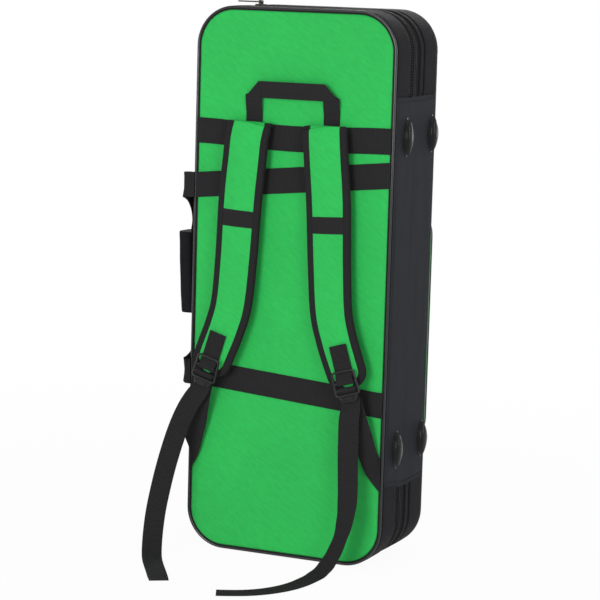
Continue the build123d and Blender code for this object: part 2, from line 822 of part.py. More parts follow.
tail("left", straps["left"], LEFT_TAIL)
tail("right", straps["right"], RIGHT_TAIL)

# Anchors: webbing from the ladder lock's end down to the side seam, where its width lies along
# the seam. Each row holds shares of the way from the lock to the seam, sideways, inwards and
# down, first for the edge nearer the middle of the case and then for the edge nearer its side.
LEFT_ANCHOR_SHARES = (
    (0, 0, 0, 0, 0, 0),
    (0.15, 0.25, 0.2, 0.5, 0.07, 0.24),
    (0.3, 0.54, 0.4, 0.96, 0.2, 0.47),
    (0.48, 0.7, 0.61, 1.4, 0.45, 0.68),
    (0.68, 0.84, 0.82, 1.45, 0.72, 0.84),
    (1, 1, 1, 1, 1, 1),
)
RIGHT_ANCHOR_SHARES = (
    (0, 0, 0, 0, 0, 0),
    (0.14, 0.18, 0.2, 0.29, 0.27, 0.3),
    (0.28, 0.38, 0.41, 0.6, 0.58, 0.6),
    (0.43, 0.56, 0.62, 0.82, 0.8, 0.84),
    (0.64, 0.8, 0.82, 0.95, 0.93, 0.94),
    (1, 1, 1, 1, 1, 1),
)


def anchor(name, plane, side, seam_length, rows):
    """Webbing from the back of the ladder lock down to the side seam."""
    lock_end = plane.origin - plane.y_dir * LOCK_LENGTH + plane.z_dir * ANCHOR_HEIGHT
    seam_x = side * (HALF_WIDTH - COVER_T - WEB_T / 2)
    seam_y = FACE_Y - WEB_T / 2 - RUNNING_CLEARANCE
    edges = []
    for inner, seam_z in ((1, ANCHOR_LOW_Z), (-1, ANCHOR_LOW_Z + seam_length)):
        lock_corner = lock_end - plane.x_dir * (side * inner * NARROW_WEB / 2)
        edges.append((lock_corner, Vector(seam_x, seam_y, seam_z) - lock_corner))
    points, widths, across = [], [], []
    for row in rows:
        corners = []
        for (lock_corner, run), (sideways, inwards, down) in zip(edges, (row[:3], row[3:])):
            shift = Vector(run.X * sideways, run.Y * inwards, run.Z * down)
            corners.append(lock_corner + shift)
        span = corners[1] - corners[0]
        points.append(tuple(corners[0] + span / 2))
        widths.append(span.normalized())
        across.append(span.length)
    planes = []
    for plane, width in zip(ribbon_planes(points, widths), widths):
        course = plane.z_dir - width * plane.z_dir.dot(width)
        planes.append(Plane(origin=plane.origin, x_dir=width, z_dir=course.normalized()))
    with BuildPart() as web:
        ribbon(planes, across, WEB_T)
    finish(web.part, f"{name}_strap_anchor")


anchor("left", straps["left"], -1, LEFT_ANCHOR_SEAM, LEFT_ANCHOR_SHARES)
anchor("right", straps["right"], 1, RIGHT_ANCHOR_SEAM, RIGHT_ANCHOR_SHARES)

# Carry handles: webbing that leaves the edge of the case, turns down into the grip and back.
# Shares of the reach sideways at the upper and at the lower end, of the way to the grip, of
# the fall to the grip's end, and of the quarter turn that brings the width level.
BACK_LOOP_SHARES = (
    (-0.08, -0.08, 0, 0, 0),
    (0.3, 0.2, 0, 0, 0),
    (0.6, 0.34, 0.06, 0.02, 0.03),
    (0.56, 0.26, 0.25, 0.07, 0.15),
    (0.53, 0.18, 0.5, 0.2, 0.42),
    (0.55, 0.2, 0.78, 0.44, 0.75),
    (0.62, 0.38, 0.96, 0.72, 0.95),
    (0.71, 0.51, 1.0, 0.92, 1.0),
    (0.71, 0.51, 1.0, 1.0, 1.0),
)
LID_LOOP_SHARES = (
    (0.05, 0.05, 0, 0, 0),
    (0.08, 0.08, 0.25, 0, 0.05),
    (0.22, 0.17, 0.45, 0.09, 0.2),
    (0.43, 0.31, 0.68, 0.25, 0.5),
    (0.59, 0.42, 0.86, 0.5, 0.78),
    (0.68, 0.48, 0.97, 0.76, 0.95),
    (0.71, 0.51, 1.0, 0.92, 1.0),
    (0.71, 0.51, 1.0, 1.0, 1.0),
)
GRIP_BOW_SHARES = ((0.5, 0), (0.3, 0.7), (0, 1), (-0.3, 0.7), (-0.5, 0))


def carry_handle(name, root_y, grip_y, loop_shares, top_z, low_z):
    """A loop of webbing with a wrapped grip, on the side away from the hinge."""
    grip_top = GRIP_CENTRE_Z + GRIP_LENGTH / 2
    grip_low = GRIP_CENTRE_Z - GRIP_LENGTH / 2
    grip_x = -HALF_WIDTH - CARRY_REACH
    with BuildPart() as loop:
        for end, edge_z, end_z in ((0, top_z, grip_top + SEAM), (1, low_z, grip_low - SEAM)):
            points, widths = [], []
            for *reaches, way, fall, lean in loop_shares:
                points.append(
                    (
                        -HALF_WIDTH - CARRY_REACH * reaches[end],
                        root_y + (grip_y - root_y) * way,
                        edge_z + (end_z - edge_z) * fall,
                    )
                )
                turn = radians(90 * lean)
                toward = 1 if (grip_y > root_y) == (end_z < edge_z) else -1
                widths.append((0, toward * sin(turn), cos(turn)))
            ribbon(ribbon_planes(points, widths), [WIDE_WEB] * len(points), WEB_T)
    finish(loop.part, f"{name}_carry_loop")

    with BuildPart() as grip:
        for share, bow in GRIP_BOW_SHARES:
            out_x = grip_x - GRIP_BOW * bow - GRIP_LEAN * share
            place = (out_x, grip_y, GRIP_CENTRE_Z + GRIP_LENGTH * share)
            with BuildSketch(Plane(origin=place, x_dir=(0, 1, 0), z_dir=(0, 0, -1))):
                SlotOverall(GRIP_WIDTH, GRIP_T)
        loft(ruled=True)
    finish(grip.part, f"{name}_carry_grip")


BACK_LOOP_Y = BACK_Y - WEB_T / 2 - RUNNING_CLEARANCE
LID_LOOP_Y = LID_Y - COVER_T
carry_handle(
    "back", BACK_LOOP_Y, ZIP_Y - GRIP_FROM_ZIP, BACK_LOOP_SHARES, CARRY_TOP_Z, CARRY_LOW_Z
)
carry_handle("lid", LID_LOOP_Y, ZIP_Y + GRIP_FROM_ZIP, LID_LOOP_SHARES, CARRY_TOP_Z, CARRY_LOW_Z)


# Sliders and pulls. On a slider's plane X runs along the chain and Z points outwards.
def slider(name, plane):
    top_low = -CHAIN_DIP + RUNNING_CLEARANCE
    low_high = -CHAIN_DIP - CHAIN_T - RUNNING_CLEARANCE
    post_low = top_low + SLIDER_TOP_T
    with BuildPart() as body:
        with BuildSketch(plane.offset(top_low)):
            RectangleRounded(SLIDER_LENGTH, SLIDER_WIDTH, SLIDER_WIDTH / 4)
        extrude(amount=SLIDER_TOP_T)
        with BuildSketch(plane.offset(low_high - SLIDER_LOW_T)):
            RectangleRounded(SLIDER_LENGTH, SLIDER_WIDTH, SLIDER_WIDTH / 4)
        extrude(amount=SLIDER_LOW_T)
        with BuildSketch(plane.offset(low_high)):
            Rectangle(SLIDER_BLADE_LENGTH, SLIDER_BLADE_T)
        extrude(amount=top_low - low_high)
        post_y = EYE_WIDTH / 2 + RUNNING_CLEARANCE + BRIDGE_POST_T / 2
        with BuildSketch(plane.offset(post_low)):
            with Locations((0, -post_y), (0, post_y)):
                Rectangle(BRIDGE_POST_LENGTH, BRIDGE_POST_T)
        extrude(amount=BRIDGE_HEIGHT + BRIDGE_R - post_low)
        across = Plane(
            origin=plane.origin + plane.z_dir * BRIDGE_HEIGHT, x_dir=plane.x_dir, z_dir=plane.y_dir
        )
        with BuildSketch(across.offset(-post_y)):
            Circle(BRIDGE_R)
        extrude(amount=2 * post_y)
    finish(body.part, name)


def pull(name, plane):
    """Flat tab with an eye round the slider's bridge, laid towards the plane's -X."""
    across = Plane(
        origin=plane.origin + plane.z_dir * BRIDGE_HEIGHT, x_dir=plane.x_dir, z_dir=plane.y_dir
    )
    with BuildPart() as tab:
        with BuildSketch(plane.offset(BRIDGE_HEIGHT - PULL_T / 2)):
            with BuildLine():
                Polyline(
                    (0, EYE_WIDTH / 2),
                    (-2 * EYE_R, EYE_WIDTH / 2),
                    (-3 * EYE_R, PULL_WIDTH / 2),
                    (-PULL_LENGTH, PULL_WIDTH / 2),
                    (-PULL_LENGTH, -PULL_WIDTH / 2),
                    (-3 * EYE_R, -PULL_WIDTH / 2),
                    (-2 * EYE_R, -EYE_WIDTH / 2),
                    (0, -EYE_WIDTH / 2),
                    close=True,
                )
            make_face()
        extrude(amount=PULL_T)
        with BuildSketch(across.offset(-EYE_WIDTH / 2)):
            Circle(EYE_R)
        extrude(amount=EYE_WIDTH)
        with BuildSketch(across.offset(-EYE_WIDTH / 2)):
            Circle(BRIDGE_R + RUNNING_CLEARANCE)
        extrude(amount=EYE_WIDTH, mode=Mode.SUBTRACT)
    finish(tab.part, name)


TOP_SLIDER_X = -HALF_WIDTH + CORNER_RADIUS + SLIDER_LENGTH / 2
SIDE_SLIDER_Z = CASE_HEIGHT - CORNER_RADIUS - SLIDER_LENGTH / 2
POCKET_ZIP_Y = LID_Y + POCKET_ZIP_IN
POCKET_SLIDER_X = -POCKET_ZIP_LENGTH / 2 + SLIDER_LENGTH / 2
SLIDER_PLANES = {
    "top": Plane(origin=(TOP_SLIDER_X, ZIP_Y, CASE_HEIGHT), x_dir=(1, 0, 0), z_dir=(0, 0, 1)),
    "side": Plane(origin=(-HALF_WIDTH, ZIP_Y, SIDE_SLIDER_Z), x_dir=(0, 0, 1), z_dir=(-1, 0, 0)),
    "pocket": Plane(
        origin=(POCKET_SLIDER_X, POCKET_ZIP_Y, POCKET_HIGH_Z + CHAIN_DIP),
        x_dir=(1, 0, 0),
        z_dir=(0, 0, 1),
    ),
}
for slider_name, slider_plane in SLIDER_PLANES.items():
    slider(f"{slider_name}_slider", slider_plane)
    pull(f"{slider_name}_slider_pull", slider_plane)


# Front pocket: upright walls and a crowned face, open to the lid behind it
def pocket_outline(inset, mode=Mode.ADD):
    with Locations((0, (POCKET_LOW_Z + POCKET_HIGH_Z) / 2)):
        RectangleRounded(
            CASE_WIDTH - 2 * POCKET_MARGIN - 2 * inset,
            POCKET_HIGH_Z - POCKET_LOW_Z - 2 * inset,
            POCKET_CORNER - inset / 2,
            mode=mode,
        )


POCKET_CROWN_SHARES = ((0, 0), (0.12, 0.5), (0.4, 0.85), (1.0, 1.0))


def pocket_body(inset, wall, mode):
    """Walls to the given height and the crown above them."""
    with BuildSketch(level(LID_Y)) as base:
        pocket_outline(inset)
    extrude(base.sketch, amount=-wall, mode=mode)
    sections = []
    for inward, rise in POCKET_CROWN_SHARES:
        with BuildSketch(level(LID_Y + wall + POCKET_CROWN * rise)) as section:
            pocket_outline(inset + POCKET_CORNER * inward)
        sections.append(section.sketch)
    loft(sections, ruled=True, mode=mode)


POCKET_SLOT = 2 * CHAIN_OUT + 2 * SEAM
with BuildPart() as front_pocket:
    pocket_body(0, POCKET_WALL, Mode.ADD)
    pocket_body(POCKET_CLOTH_T, POCKET_WALL - POCKET_CLOTH_T, Mode.SUBTRACT)
    block(
        -POCKET_ZIP_LENGTH / 2,
        POCKET_ZIP_LENGTH / 2,
        POCKET_ZIP_Y - POCKET_SLOT / 2,
        POCKET_ZIP_Y + POCKET_SLOT / 2,
        POCKET_HIGH_Z - 2 * POCKET_CLOTH_T,
        POCKET_HIGH_Z + POCKET_CLOTH_T,
        mode=Mode.SUBTRACT,
    )
finish(front_pocket.part, "front_pocket")

with BuildPart() as pocket_zip_chain:
    for side in (-1, 1):
        inner = side * CHAIN_GAP / 2
        outer = side * CHAIN_OUT
        block(
            -POCKET_ZIP_LENGTH / 2 + SEAM,
            POCKET_ZIP_LENGTH / 2 - SEAM,
            POCKET_ZIP_Y + min(inner, outer),
            POCKET_ZIP_Y + max(inner, outer),
            POCKET_HIGH_Z - CHAIN_T,
            POCKET_HIGH_Z,
        )
finish(pocket_zip_chain.part, "pocket_zip_chain")

# Padding inside the back half, cut to hold the instrument
BLOCK_HALF = CAVITY_HALF - SEAM
BLOCK_BACK_Y = CAVITY_FLOOR_Y + SEAM
BLOCK_FRONT_Y = BLOCK_BACK_Y + CRADLE_DEPTH
CAVITY_LOW_Z = CAVITY_INSET + SEAM


def channel(x, radius, z_from, z_to):
    """Half-round channel along Z, open towards the lid."""
    with BuildSketch(Plane.XY.offset(z_from)) as bore:
        with Locations((x, BLOCK_FRONT_Y)):
            Circle(radius)
    extrude(bore.sketch, amount=z_to - z_from, mode=Mode.SUBTRACT)


with BuildPart() as bow_cradle:
    with BuildSketch(level(BLOCK_FRONT_Y)):
        with Locations((0, CAVITY_LOW_Z + BOW_BLOCK_HEIGHT / 2)):
            Rectangle(2 * BLOCK_HALF, BOW_BLOCK_HEIGHT)
        with Locations((0, MID_Z)):
            RectangleRounded(
                2 * BLOCK_HALF,
                CASE_HEIGHT - 2 * CAVITY_LOW_Z,
                CORNER_RADIUS - CAVITY_INSET,
                mode=Mode.INTERSECT,
            )
    extrude(amount=CRADLE_DEPTH)
    channel(BORE_SPACING / 2, BOW_BORE_R, CAVITY_LOW_Z + BORE_FLOOR, CAVITY_LOW_Z + BOW_BLOCK_HEIGHT)
    channel(-BORE_SPACING / 2, BODY_BORE_R, CAVITY_LOW_Z + BORE_FLOOR, CAVITY_LOW_Z + BOW_BLOCK_HEIGHT)
finish(bow_cradle.part, "bow_cradle")

with BuildPart() as bell_cradle:
    block(
        -BLOCK_HALF,
        BLOCK_HALF,
        BLOCK_BACK_Y,
        BLOCK_FRONT_Y,
        BELL_BLOCK_Z,
        BELL_BLOCK_Z + BELL_BLOCK_HEIGHT,
    )
    with BuildSketch(level(BLOCK_FRONT_Y)):
        with Locations((BORE_SPACING / 2, BELL_BLOCK_Z + BELL_BLOCK_HEIGHT)):
            Circle(BELL_BLOCK_HEIGHT - BLOCK_ROUND)
    extrude(amount=CRADLE_DEPTH - BLOCK_ROUND, mode=Mode.SUBTRACT)
    channel(-BORE_SPACING / 2, BODY_BORE_R, BELL_BLOCK_Z, BELL_BLOCK_Z + BELL_BLOCK_HEIGHT)
finish(bell_cradle.part, "bell_cradle")

with BuildPart() as neck_rest:
    block(
        -BLOCK_HALF,
        -BLOCK_HALF + REST_BLOCK_WIDTH,
        BLOCK_BACK_Y,
        BLOCK_FRONT_Y,
        REST_BLOCK_Z,
        REST_BLOCK_Z + REST_BLOCK_HEIGHT,
    )
    channel(-BORE_SPACING / 2, NECK_BORE_R, REST_BLOCK_Z, REST_BLOCK_Z + REST_BLOCK_HEIGHT)
    fillet(neck_rest.edges().filter_by(Axis.Y), radius=BLOCK_ROUND)
finish(neck_rest.part, "neck_rest")

# Accessory box in the upper corner, with a lid hinged on its inner side
BOX_RIGHT = BLOCK_HALF
BOX_LEFT = BOX_RIGHT - BOX_WIDTH
BOX_LOW = CASE_HEIGHT - CAVITY_LOW_Z - CORNER_RADIUS - BOX_HEIGHT
BOX_FRONT_Y = BLOCK_BACK_Y + BOX_DEPTH
with BuildPart() as accessory_box:
    block(BOX_LEFT, BOX_RIGHT, BLOCK_BACK_Y, BOX_FRONT_Y, BOX_LOW, BOX_LOW + BOX_HEIGHT)
    block(
        BOX_LEFT + BOX_WALL,
        BOX_RIGHT - BOX_WALL,
        BLOCK_BACK_Y + BOX_WALL,
        BOX_FRONT_Y,
        BOX_LOW + BOX_WALL,
        BOX_LOW + BOX_HEIGHT - BOX_WALL,
        mode=Mode.SUBTRACT,
    )
finish(accessory_box.part, "accessory_box")

BOX_PIN_X = BOX_LEFT + BOX_LID_PIN_R
BOX_PIN_Y = BOX_FRONT_Y + RUNNING_CLEARANCE + BOX_LID_T / 2
with BuildPart() as accessory_lid:
    block(
        BOX_PIN_X,
        BOX_RIGHT - BOX_WALL,
        BOX_PIN_Y - BOX_LID_T / 2,
        BOX_PIN_Y + BOX_LID_T / 2,
        BOX_LOW + SEAM,
        BOX_LOW + BOX_HEIGHT - SEAM,
    )
    with BuildSketch(Plane.XY.offset(BOX_LOW + SEAM)):
        with Locations((BOX_PIN_X, BOX_PIN_Y)):
            Circle(BOX_LID_PIN_R)
    extrude(amount=BOX_HEIGHT - 2 * SEAM)
finish(accessory_lid.part, "accessory_lid")

# Crowned pad inside the lid that holds the instrument down
LID_PAD_SHARES = ((0, 1.0), (0.4, 1.0), (0.8, 0.93), (1.0, 0.8))
with BuildPart() as lid_pad:
    for rise, size in LID_PAD_SHARES:
        with BuildSketch(level(LID_FLOOR_Y - SEAM - LID_PAD_T * rise)):
            with Locations((0, MID_Z)):
                RectangleRounded(LID_PAD_WIDTH * size, LID_PAD_HEIGHT * size, CORNER_RADIUS * size)
    loft(ruled=True)
finish(lid_pad.part, "lid_pad")

# Places of the joints, for the record
print("zip plane y", ZIP_Y, "hinge x", HALF_WIDTH)
print("grab handle axis y", round(GRAB_AXIS_Y, 2), "z", round(GRAB_AXIS_Z, 2))
print("strap axis y", round(STRAP_ROOT_Y + STRAP_SEWN_T / 2, 2), "z", STRAP_TOP_Z + STRAP_SWING_UP)
for lock_name, lock_plane in straps.items():
    bar = lock_plane.origin + lock_plane.z_dir * BAR_HEIGHT
    print(lock_name, "lock bar", [round(v, 2) for v in bar], [round(v, 4) for v in lock_plane.x_dir])
for slider_name, slider_plane in SLIDER_PLANES.items():
    bridge = slider_plane.origin + slider_plane.z_dir * BRIDGE_HEIGHT
    print(slider_name, "pull axis", [round(v, 2) for v in bridge], [round(v) for v in slider_plane.y_dir])
print("accessory lid pin x", round(BOX_PIN_X, 2), "y", round(BOX_PIN_Y, 2))
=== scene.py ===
from math import copysign, cos, exp, pi, radians, sin, sqrt

import bmesh
import bpy
from mathutils import Matrix, Vector, noise


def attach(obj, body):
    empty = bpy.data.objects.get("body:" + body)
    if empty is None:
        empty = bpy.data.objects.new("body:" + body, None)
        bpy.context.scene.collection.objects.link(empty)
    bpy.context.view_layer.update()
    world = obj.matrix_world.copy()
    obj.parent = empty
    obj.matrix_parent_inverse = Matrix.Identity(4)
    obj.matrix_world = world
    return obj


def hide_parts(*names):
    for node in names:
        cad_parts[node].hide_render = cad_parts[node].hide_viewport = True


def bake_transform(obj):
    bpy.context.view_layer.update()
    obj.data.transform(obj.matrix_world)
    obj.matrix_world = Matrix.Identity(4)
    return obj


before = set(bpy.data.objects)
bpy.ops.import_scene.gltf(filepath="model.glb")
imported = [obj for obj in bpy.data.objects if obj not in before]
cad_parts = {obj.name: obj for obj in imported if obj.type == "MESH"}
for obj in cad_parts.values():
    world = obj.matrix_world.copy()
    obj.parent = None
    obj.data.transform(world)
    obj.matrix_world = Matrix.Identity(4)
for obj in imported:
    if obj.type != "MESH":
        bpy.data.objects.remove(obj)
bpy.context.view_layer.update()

# Lengths below are in millimetres unless a name or a comment says metres
MM = 0.001

# Camera at the photograph's viewing angle, its place in metres
camera_data = bpy.data.cameras.new("camera")
camera_data.lens = 141.7
camera_data.sensor_width = 36
camera_data.clip_end = 60
camera = bpy.data.objects.new("camera", camera_data)
bpy.context.collection.objects.link(camera)
view_back = Vector((0.4038, -0.9031, 0.1461)).normalized()
view_right = Vector((0.9108, 0.4118, 0.0284))
view_right = (view_right - view_back * view_right.dot(view_back)).normalized()
view_up = view_back.cross(view_right)
camera.matrix_world = (
    Matrix.Translation((1.4277, -3.1873, 0.9019))
    @ Matrix((view_right, view_up, view_back)).transposed().to_4x4()
)
bpy.context.scene.camera = camera


# Materials
class Tree:
    """A material's or the world's nodes, with the steps that the finishes share."""

    def __init__(self, owner):
        owner.use_nodes = True
        self.owner = owner
        self.nodes, self.links = owner.node_tree.nodes, owner.node_tree.links

    def feed(self, sockets, values):
        """Links a node's output to each socket, or sets it to the given constant."""
        for socket, value in zip(sockets, values):
            if isinstance(value, bpy.types.NodeSocket):
                self.links.new(value, socket)
            else:
                socket.default_value = value

    def dress(self, sockets):
        """Feeds the Principled shader's sockets by their names."""
        inputs = self.nodes["Principled BSDF"].inputs
        self.feed([inputs[name] for name in sockets], sockets.values())
        return self.owner

    def maths(self, kind, *values):
        node = self.nodes.new("ShaderNodeMath")
        node.operation = kind
        self.feed(node.inputs, values)
        return node.outputs[0]

    def surface(self):
        """U and V in metres, and Object coordinates."""
        coordinates = self.nodes.new("ShaderNodeTexCoord")
        split = self.nodes.new("ShaderNodeSeparateXYZ")
        self.links.new(coordinates.outputs["UV"], split.inputs[0])
        return split.outputs[0], split.outputs[1], coordinates.outputs["Object"]

    def wave(self, value, pitch):
        """Sine of a length in metres with the given pitch in millimetres."""
        return self.maths("SINE", self.maths("MULTIPLY", value, 2 * pi / (pitch * MM)))

    def cloudy(self, coordinates, scale, detail=4):
        cloud = self.nodes.new("ShaderNodeTexNoise")
        sockets = [cloud.inputs[name] for name in ("Vector", "Scale", "Detail")]
        self.feed(sockets, (coordinates, scale, detail))
        return cloud.outputs["Fac"]

    def shaded(self, colour, value, dark, light):
        """Colour that runs from dark to light times the given one as value goes from 0 to 1."""
        ramp = self.nodes.new("ShaderNodeValToRGB")
        for element, share in zip(ramp.color_ramp.elements, (dark, light)):
            element.color = (*[c * share for c in colour], 1)
        self.links.new(value, ramp.inputs["Fac"])
        return ramp.outputs["Color"]

    def bumped(self, height, depth):
        bump = self.nodes.new("ShaderNodeBump")
        self.feed((bump.inputs["Height"], bump.inputs["Distance"]), (height, depth * MM))
        return bump.outputs["Normal"]

    def direct_rays(self):
        """1 for rays from the camera, in a mirror or through glass, 0 for what lights things."""
        path = self.nodes.new("ShaderNodeLightPath")
        rays = path.outputs["Is Camera Ray"]
        for kind in ("Is Glossy Ray", "Is Transmission Ray"):
            rays = self.maths("MAXIMUM", rays, path.outputs[kind])
        return rays

    def mixed(self, kind, strength, share, other, output):
        """White of the given kind and strength over the other shader, at a share from 0 to 1."""
        white = self.nodes.new(kind)
        self.feed(white.inputs, ((1, 1, 1, 1), strength))
        mixer = self.nodes.new("ShaderNodeMixShader")
        self.feed(mixer.inputs, (share, other, white.outputs[0]))
        self.links.new(mixer.outputs[0], self.nodes[output].inputs["Surface"])


STREAK_SLANT = 0.6
STREAK_SIZE = (0.012, 0.008, 0.0032)


def cloth(name, colour, pitch, depth, rough, grain, sheen=0.02, specular=0.02, ripple=2.0):
    """Plain-woven nylon: crossing yarns, slanting ripples, a slow change of shade, fibre grain."""
    tree = Tree(bpy.data.materials.new(name))
    u, v, place = tree.surface()
    weave = tree.maths("MULTIPLY", tree.wave(u, pitch), tree.wave(v, pitch))
    slow = tree.cloudy(place, 9)
    fibre = tree.cloudy(place, 1400, 2)
    slant = tree.nodes.new("ShaderNodeMapping")
    slant.vector_type = "TEXTURE"
    slant.inputs["Rotation"].default_value = (0, STREAK_SLANT, 0)
    slant.inputs["Scale"].default_value = STREAK_SIZE
    tree.links.new(place, slant.inputs["Vector"])
    streaks = tree.cloudy(slant.outputs[0], 1, 3)
    tone = tree.maths("MULTIPLY_ADD", weave, 0.12, 0.05)
    for value, weight in ((slow, 0.4), (streaks, 0.5)):
        tone = tree.maths("ADD", tone, tree.maths("MULTIPLY", value, weight))
    tint = tree.shaded(colour, tone, 1 - grain, 1 + grain)
    height = tree.maths("ADD", weave, tree.maths("MULTIPLY", fibre, 0.8))
    height = tree.maths("ADD", height, tree.maths("MULTIPLY", streaks, ripple))
    return tree.dress({
        "Base Color": tint, "Normal": tree.bumped(height, depth), "Roughness": rough,
        "Sheen Weight": sheen, "Sheen Roughness": 0.4, "Specular IOR Level": specular,
    })


def webbing(name, colour, depth, rib=2.5, line=1.1, dark=0.72, light=1.45):
    """Flat woven webbing: cross ribs with fine warp lines, with painted shade in their grooves and
    lighter painted tops.
    """
    tree = Tree(bpy.data.materials.new(name))
    u, v, place = tree.surface()
    ribs = tree.wave(v, rib)
    height = tree.maths("ADD", ribs, tree.maths("MULTIPLY", tree.wave(u, line), 0.45))
    fuzz = tree.cloudy(place, 900, 3)
    height = tree.maths("ADD", height, tree.maths("MULTIPLY", fuzz, 0.9))
    # Painted shade: the colour follows the height, darker in the rib grooves and between the warp
    # lines and lighter on the rib tops, plus random fuzz; dark and light set its depth
    tone = tree.maths("MULTIPLY_ADD", height, 0.22, 0.3)
    return tree.dress({
        "Base Color": tree.shaded(colour, tone, dark, light), "Normal": tree.bumped(height, depth),
        "Roughness": 0.8, "Sheen Weight": 0.02, "Specular IOR Level": 0.02,
    })


def moulded(name, colour, rough, grain=0.03, metallic=0.0, scale=700, specular=0.5):
    """Moulded plastic, rubber or metal with a fine grain and uneven polish."""
    tree = Tree(bpy.data.materials.new(name))
    place = tree.nodes.new("ShaderNodeTexCoord").outputs["Object"]
    fine = tree.cloudy(place, scale, 2)
    wide = tree.cloudy(place, 40, 3)
    tint = tree.shaded(colour, wide, 0.85, 1.2)
    spread = tree.maths("MULTIPLY_ADD", wide, 0.2, rough - 0.1)
    return tree.dress({
        "Base Color": tint, "Roughness": spread, "Normal": tree.bumped(fine, grain),
        "Metallic": metallic, "Specular IOR Level": specular,
    })


def plush(name, colour):
    """Short-pile plush with a brushed nap."""
    tree = Tree(bpy.data.materials.new(name))
    place = tree.nodes.new("ShaderNodeTexCoord").outputs["Object"]
    pile = tree.cloudy(place, 800, 4)
    nap = tree.cloudy(place, 14, 3)
    return tree.dress({
        "Base Color": tree.shaded(colour, nap, 0.7, 1.4), "Normal": tree.bumped(pile, 0.5),
        "Roughness": 0.95, "Sheen Weight": 0.6, "Sheen Roughness": 0.35,
        "Specular IOR Level": 0.15,
    })


GREEN = cloth("green_nylon", (0.018, 0.48, 0.084), 1.1, 0.1, 0.62, 0.3,
              sheen=0.12, specular=0.3, ripple=3.0)
BLACK = cloth("black_nylon", (0.0148, 0.0148, 0.0172), 1.0, 0.1, 0.6, 0.4)
SMOOTH_BLACK = cloth("hinge_nylon", (0.018, 0.02, 0.0245), 0.8, 0.05, 0.5, 0.3)
WEB = webbing("black_webbing", (0.0255, 0.0245, 0.026), depth=0.22)
# The zip tape's wide range from dark to light paints deep shade into its rib grooves and paints the
# rib tops lighter
TAPE = webbing("zip_tape", (0.0135, 0.0125, 0.013), rib=4.0, line=1.3, depth=0.35,
               dark=0.05, light=3.6)
BIND = webbing("binding_tape", (0.022, 0.021, 0.0225), rib=1.3, line=2.2, depth=0.08)
PIPE = moulded("piping_vinyl", (0.004, 0.004, 0.0045), 0.2, grain=0.006, scale=500, specular=0.5)
THREAD = moulded("thread", (0.016, 0.016, 0.017), 0.7, specular=0.1)
COIL = moulded("zip_coil", (0.011, 0.011, 0.0115), 0.45, specular=0.06)
PLASTIC = moulded("buckle_plastic", (0.015, 0.015, 0.016), 0.36, specular=0.25)
RUBBER = moulded("foot_rubber", (0.0025, 0.0027, 0.0035), 0.17, grain=0.003, specular=0.2)
STEEL = moulded("slider_metal", (0.05, 0.044, 0.036), 0.3, grain=0.02, metallic=1.0)
PILE = plush("plush_lining", (0.045, 0.046, 0.05))
BOARD = moulded("box_board", (0.03, 0.03, 0.032), 0.7, grain=0.2)


# Mesh helpers
def smooth_step(t):
    t = min(max(t, 0.0), 1.0)
    return t * t * (3 - 2 * t)


def mix(a, b, t):
    return a + (b - a) * t


def bell(distance, width):
    """1 at no distance, falling to almost 0 at twice the width."""
    return exp(-((distance / width) ** 2))


def tucked(edge, reach):
    """1 at an edge, falling to 0 at reach from it."""
    return max(0.0, 1 - edge / reach) ** 2


def risen(edge, reach):
    """0 at an edge, rising evenly to 1 at reach from it."""
    return min(1, edge / reach)


def circle(radius, count, squash=1.0, shut=0):
    """Points of a circle; shut=1 adds the first one again at the end."""
    turns = [2 * pi * k / count for k in range(count + shut)]
    return [(radius * cos(t), radius * squash * sin(t)) for t in turns]


def walked(points):
    """Length along points at each of them."""
    lengths = [0.0]
    for here, there in zip(points, points[1:]):
        lengths.append(lengths[-1] + (there - here).length)
    return lengths


def rough_at(x, y, z, size):
    """Soft noise from -1 to 1, with bumps about size wide."""
    return noise.noise(Vector((x / size, y / size, z / size)))


def curve_at(points, t):
    """Smooth curve through points, t from 0 to the last one's number."""
    last = len(points) - 1
    n = min(int(t), last - 1)
    f = t - n
    b, c = points[n], points[n + 1]
    a = points[n - 1] if n else b + (b - c)
    d = points[n + 2] if n + 2 <= last else c + (c - b)
    slope, bend, twist = c - a, a * 2 - b * 5 + c * 4 - d, b * 3 - a - c * 3 + d
    return (b * 2 + slope * f + bend * f**2 + twist * f**3) / 2


def piece(name, bm, material, body, replaces=(), sharp=50):
    mesh = bpy.data.meshes.new(name)
    bm.to_mesh(mesh)
    bm.free()
    mesh.materials.append(material)
    for polygon in mesh.polygons:
        polygon.use_smooth = True
    mesh.set_sharp_from_angle(angle=radians(sharp))
    obj = bpy.data.objects.new(name, mesh)
    bpy.context.collection.objects.link(obj)
    if body:
        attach(obj, body)
    if replaces:
        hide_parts(*replaces)
    return obj


def grid(columns, rows, place, merged=False, capped=False):
    """Grid whose points go where place(column, row) says, in millimetres, with its UV in metres."""
    bm = bmesh.new()
    layer = bm.loops.layers.uv.new("UVMap")
    bmesh.ops.create_grid(bm, x_segments=columns, y_segments=rows, size=0.5)
    flat = {}
    for vert in bm.verts:
        column = round((vert.co.x + 0.5) * columns)
        row = round((vert.co.y + 0.5) * rows)
        point, uv = place(column, row)
        vert.co = Vector(point) * MM
        flat[vert] = (uv[0] * MM, uv[1] * MM)
    for face in bm.faces:
        for loop in face.loops:
            loop[layer].uv = flat[loop.vert]
    if merged:
        bmesh.ops.remove_doubles(bm, verts=bm.verts, dist=1e-7)
    if capped:
        bmesh.ops.holes_fill(bm, edges=[e for e in bm.edges if e.is_boundary], sides=0)
    bmesh.ops.recalc_face_normals(bm, faces=bm.faces)
    return bm


def swept(stations, sections, looped=False):
    """Closed shape through stations (centre, across, out), each with its section's (a, b)."""
    columns = len(sections[0])
    rows = len(stations) if looped else len(stations) - 1
    lengths = walked([station[0] for station in stations + stations[:1]])

    def place(column, row):
        centre, across, out = stations[row % len(stations)]
        a, b = sections[row % len(sections)][column % columns]
        return centre + across * a + out * b, (a, lengths[row])

    return grid(columns, rows, place, merged=True, capped=not looped)


FLAT_STEPS = 8


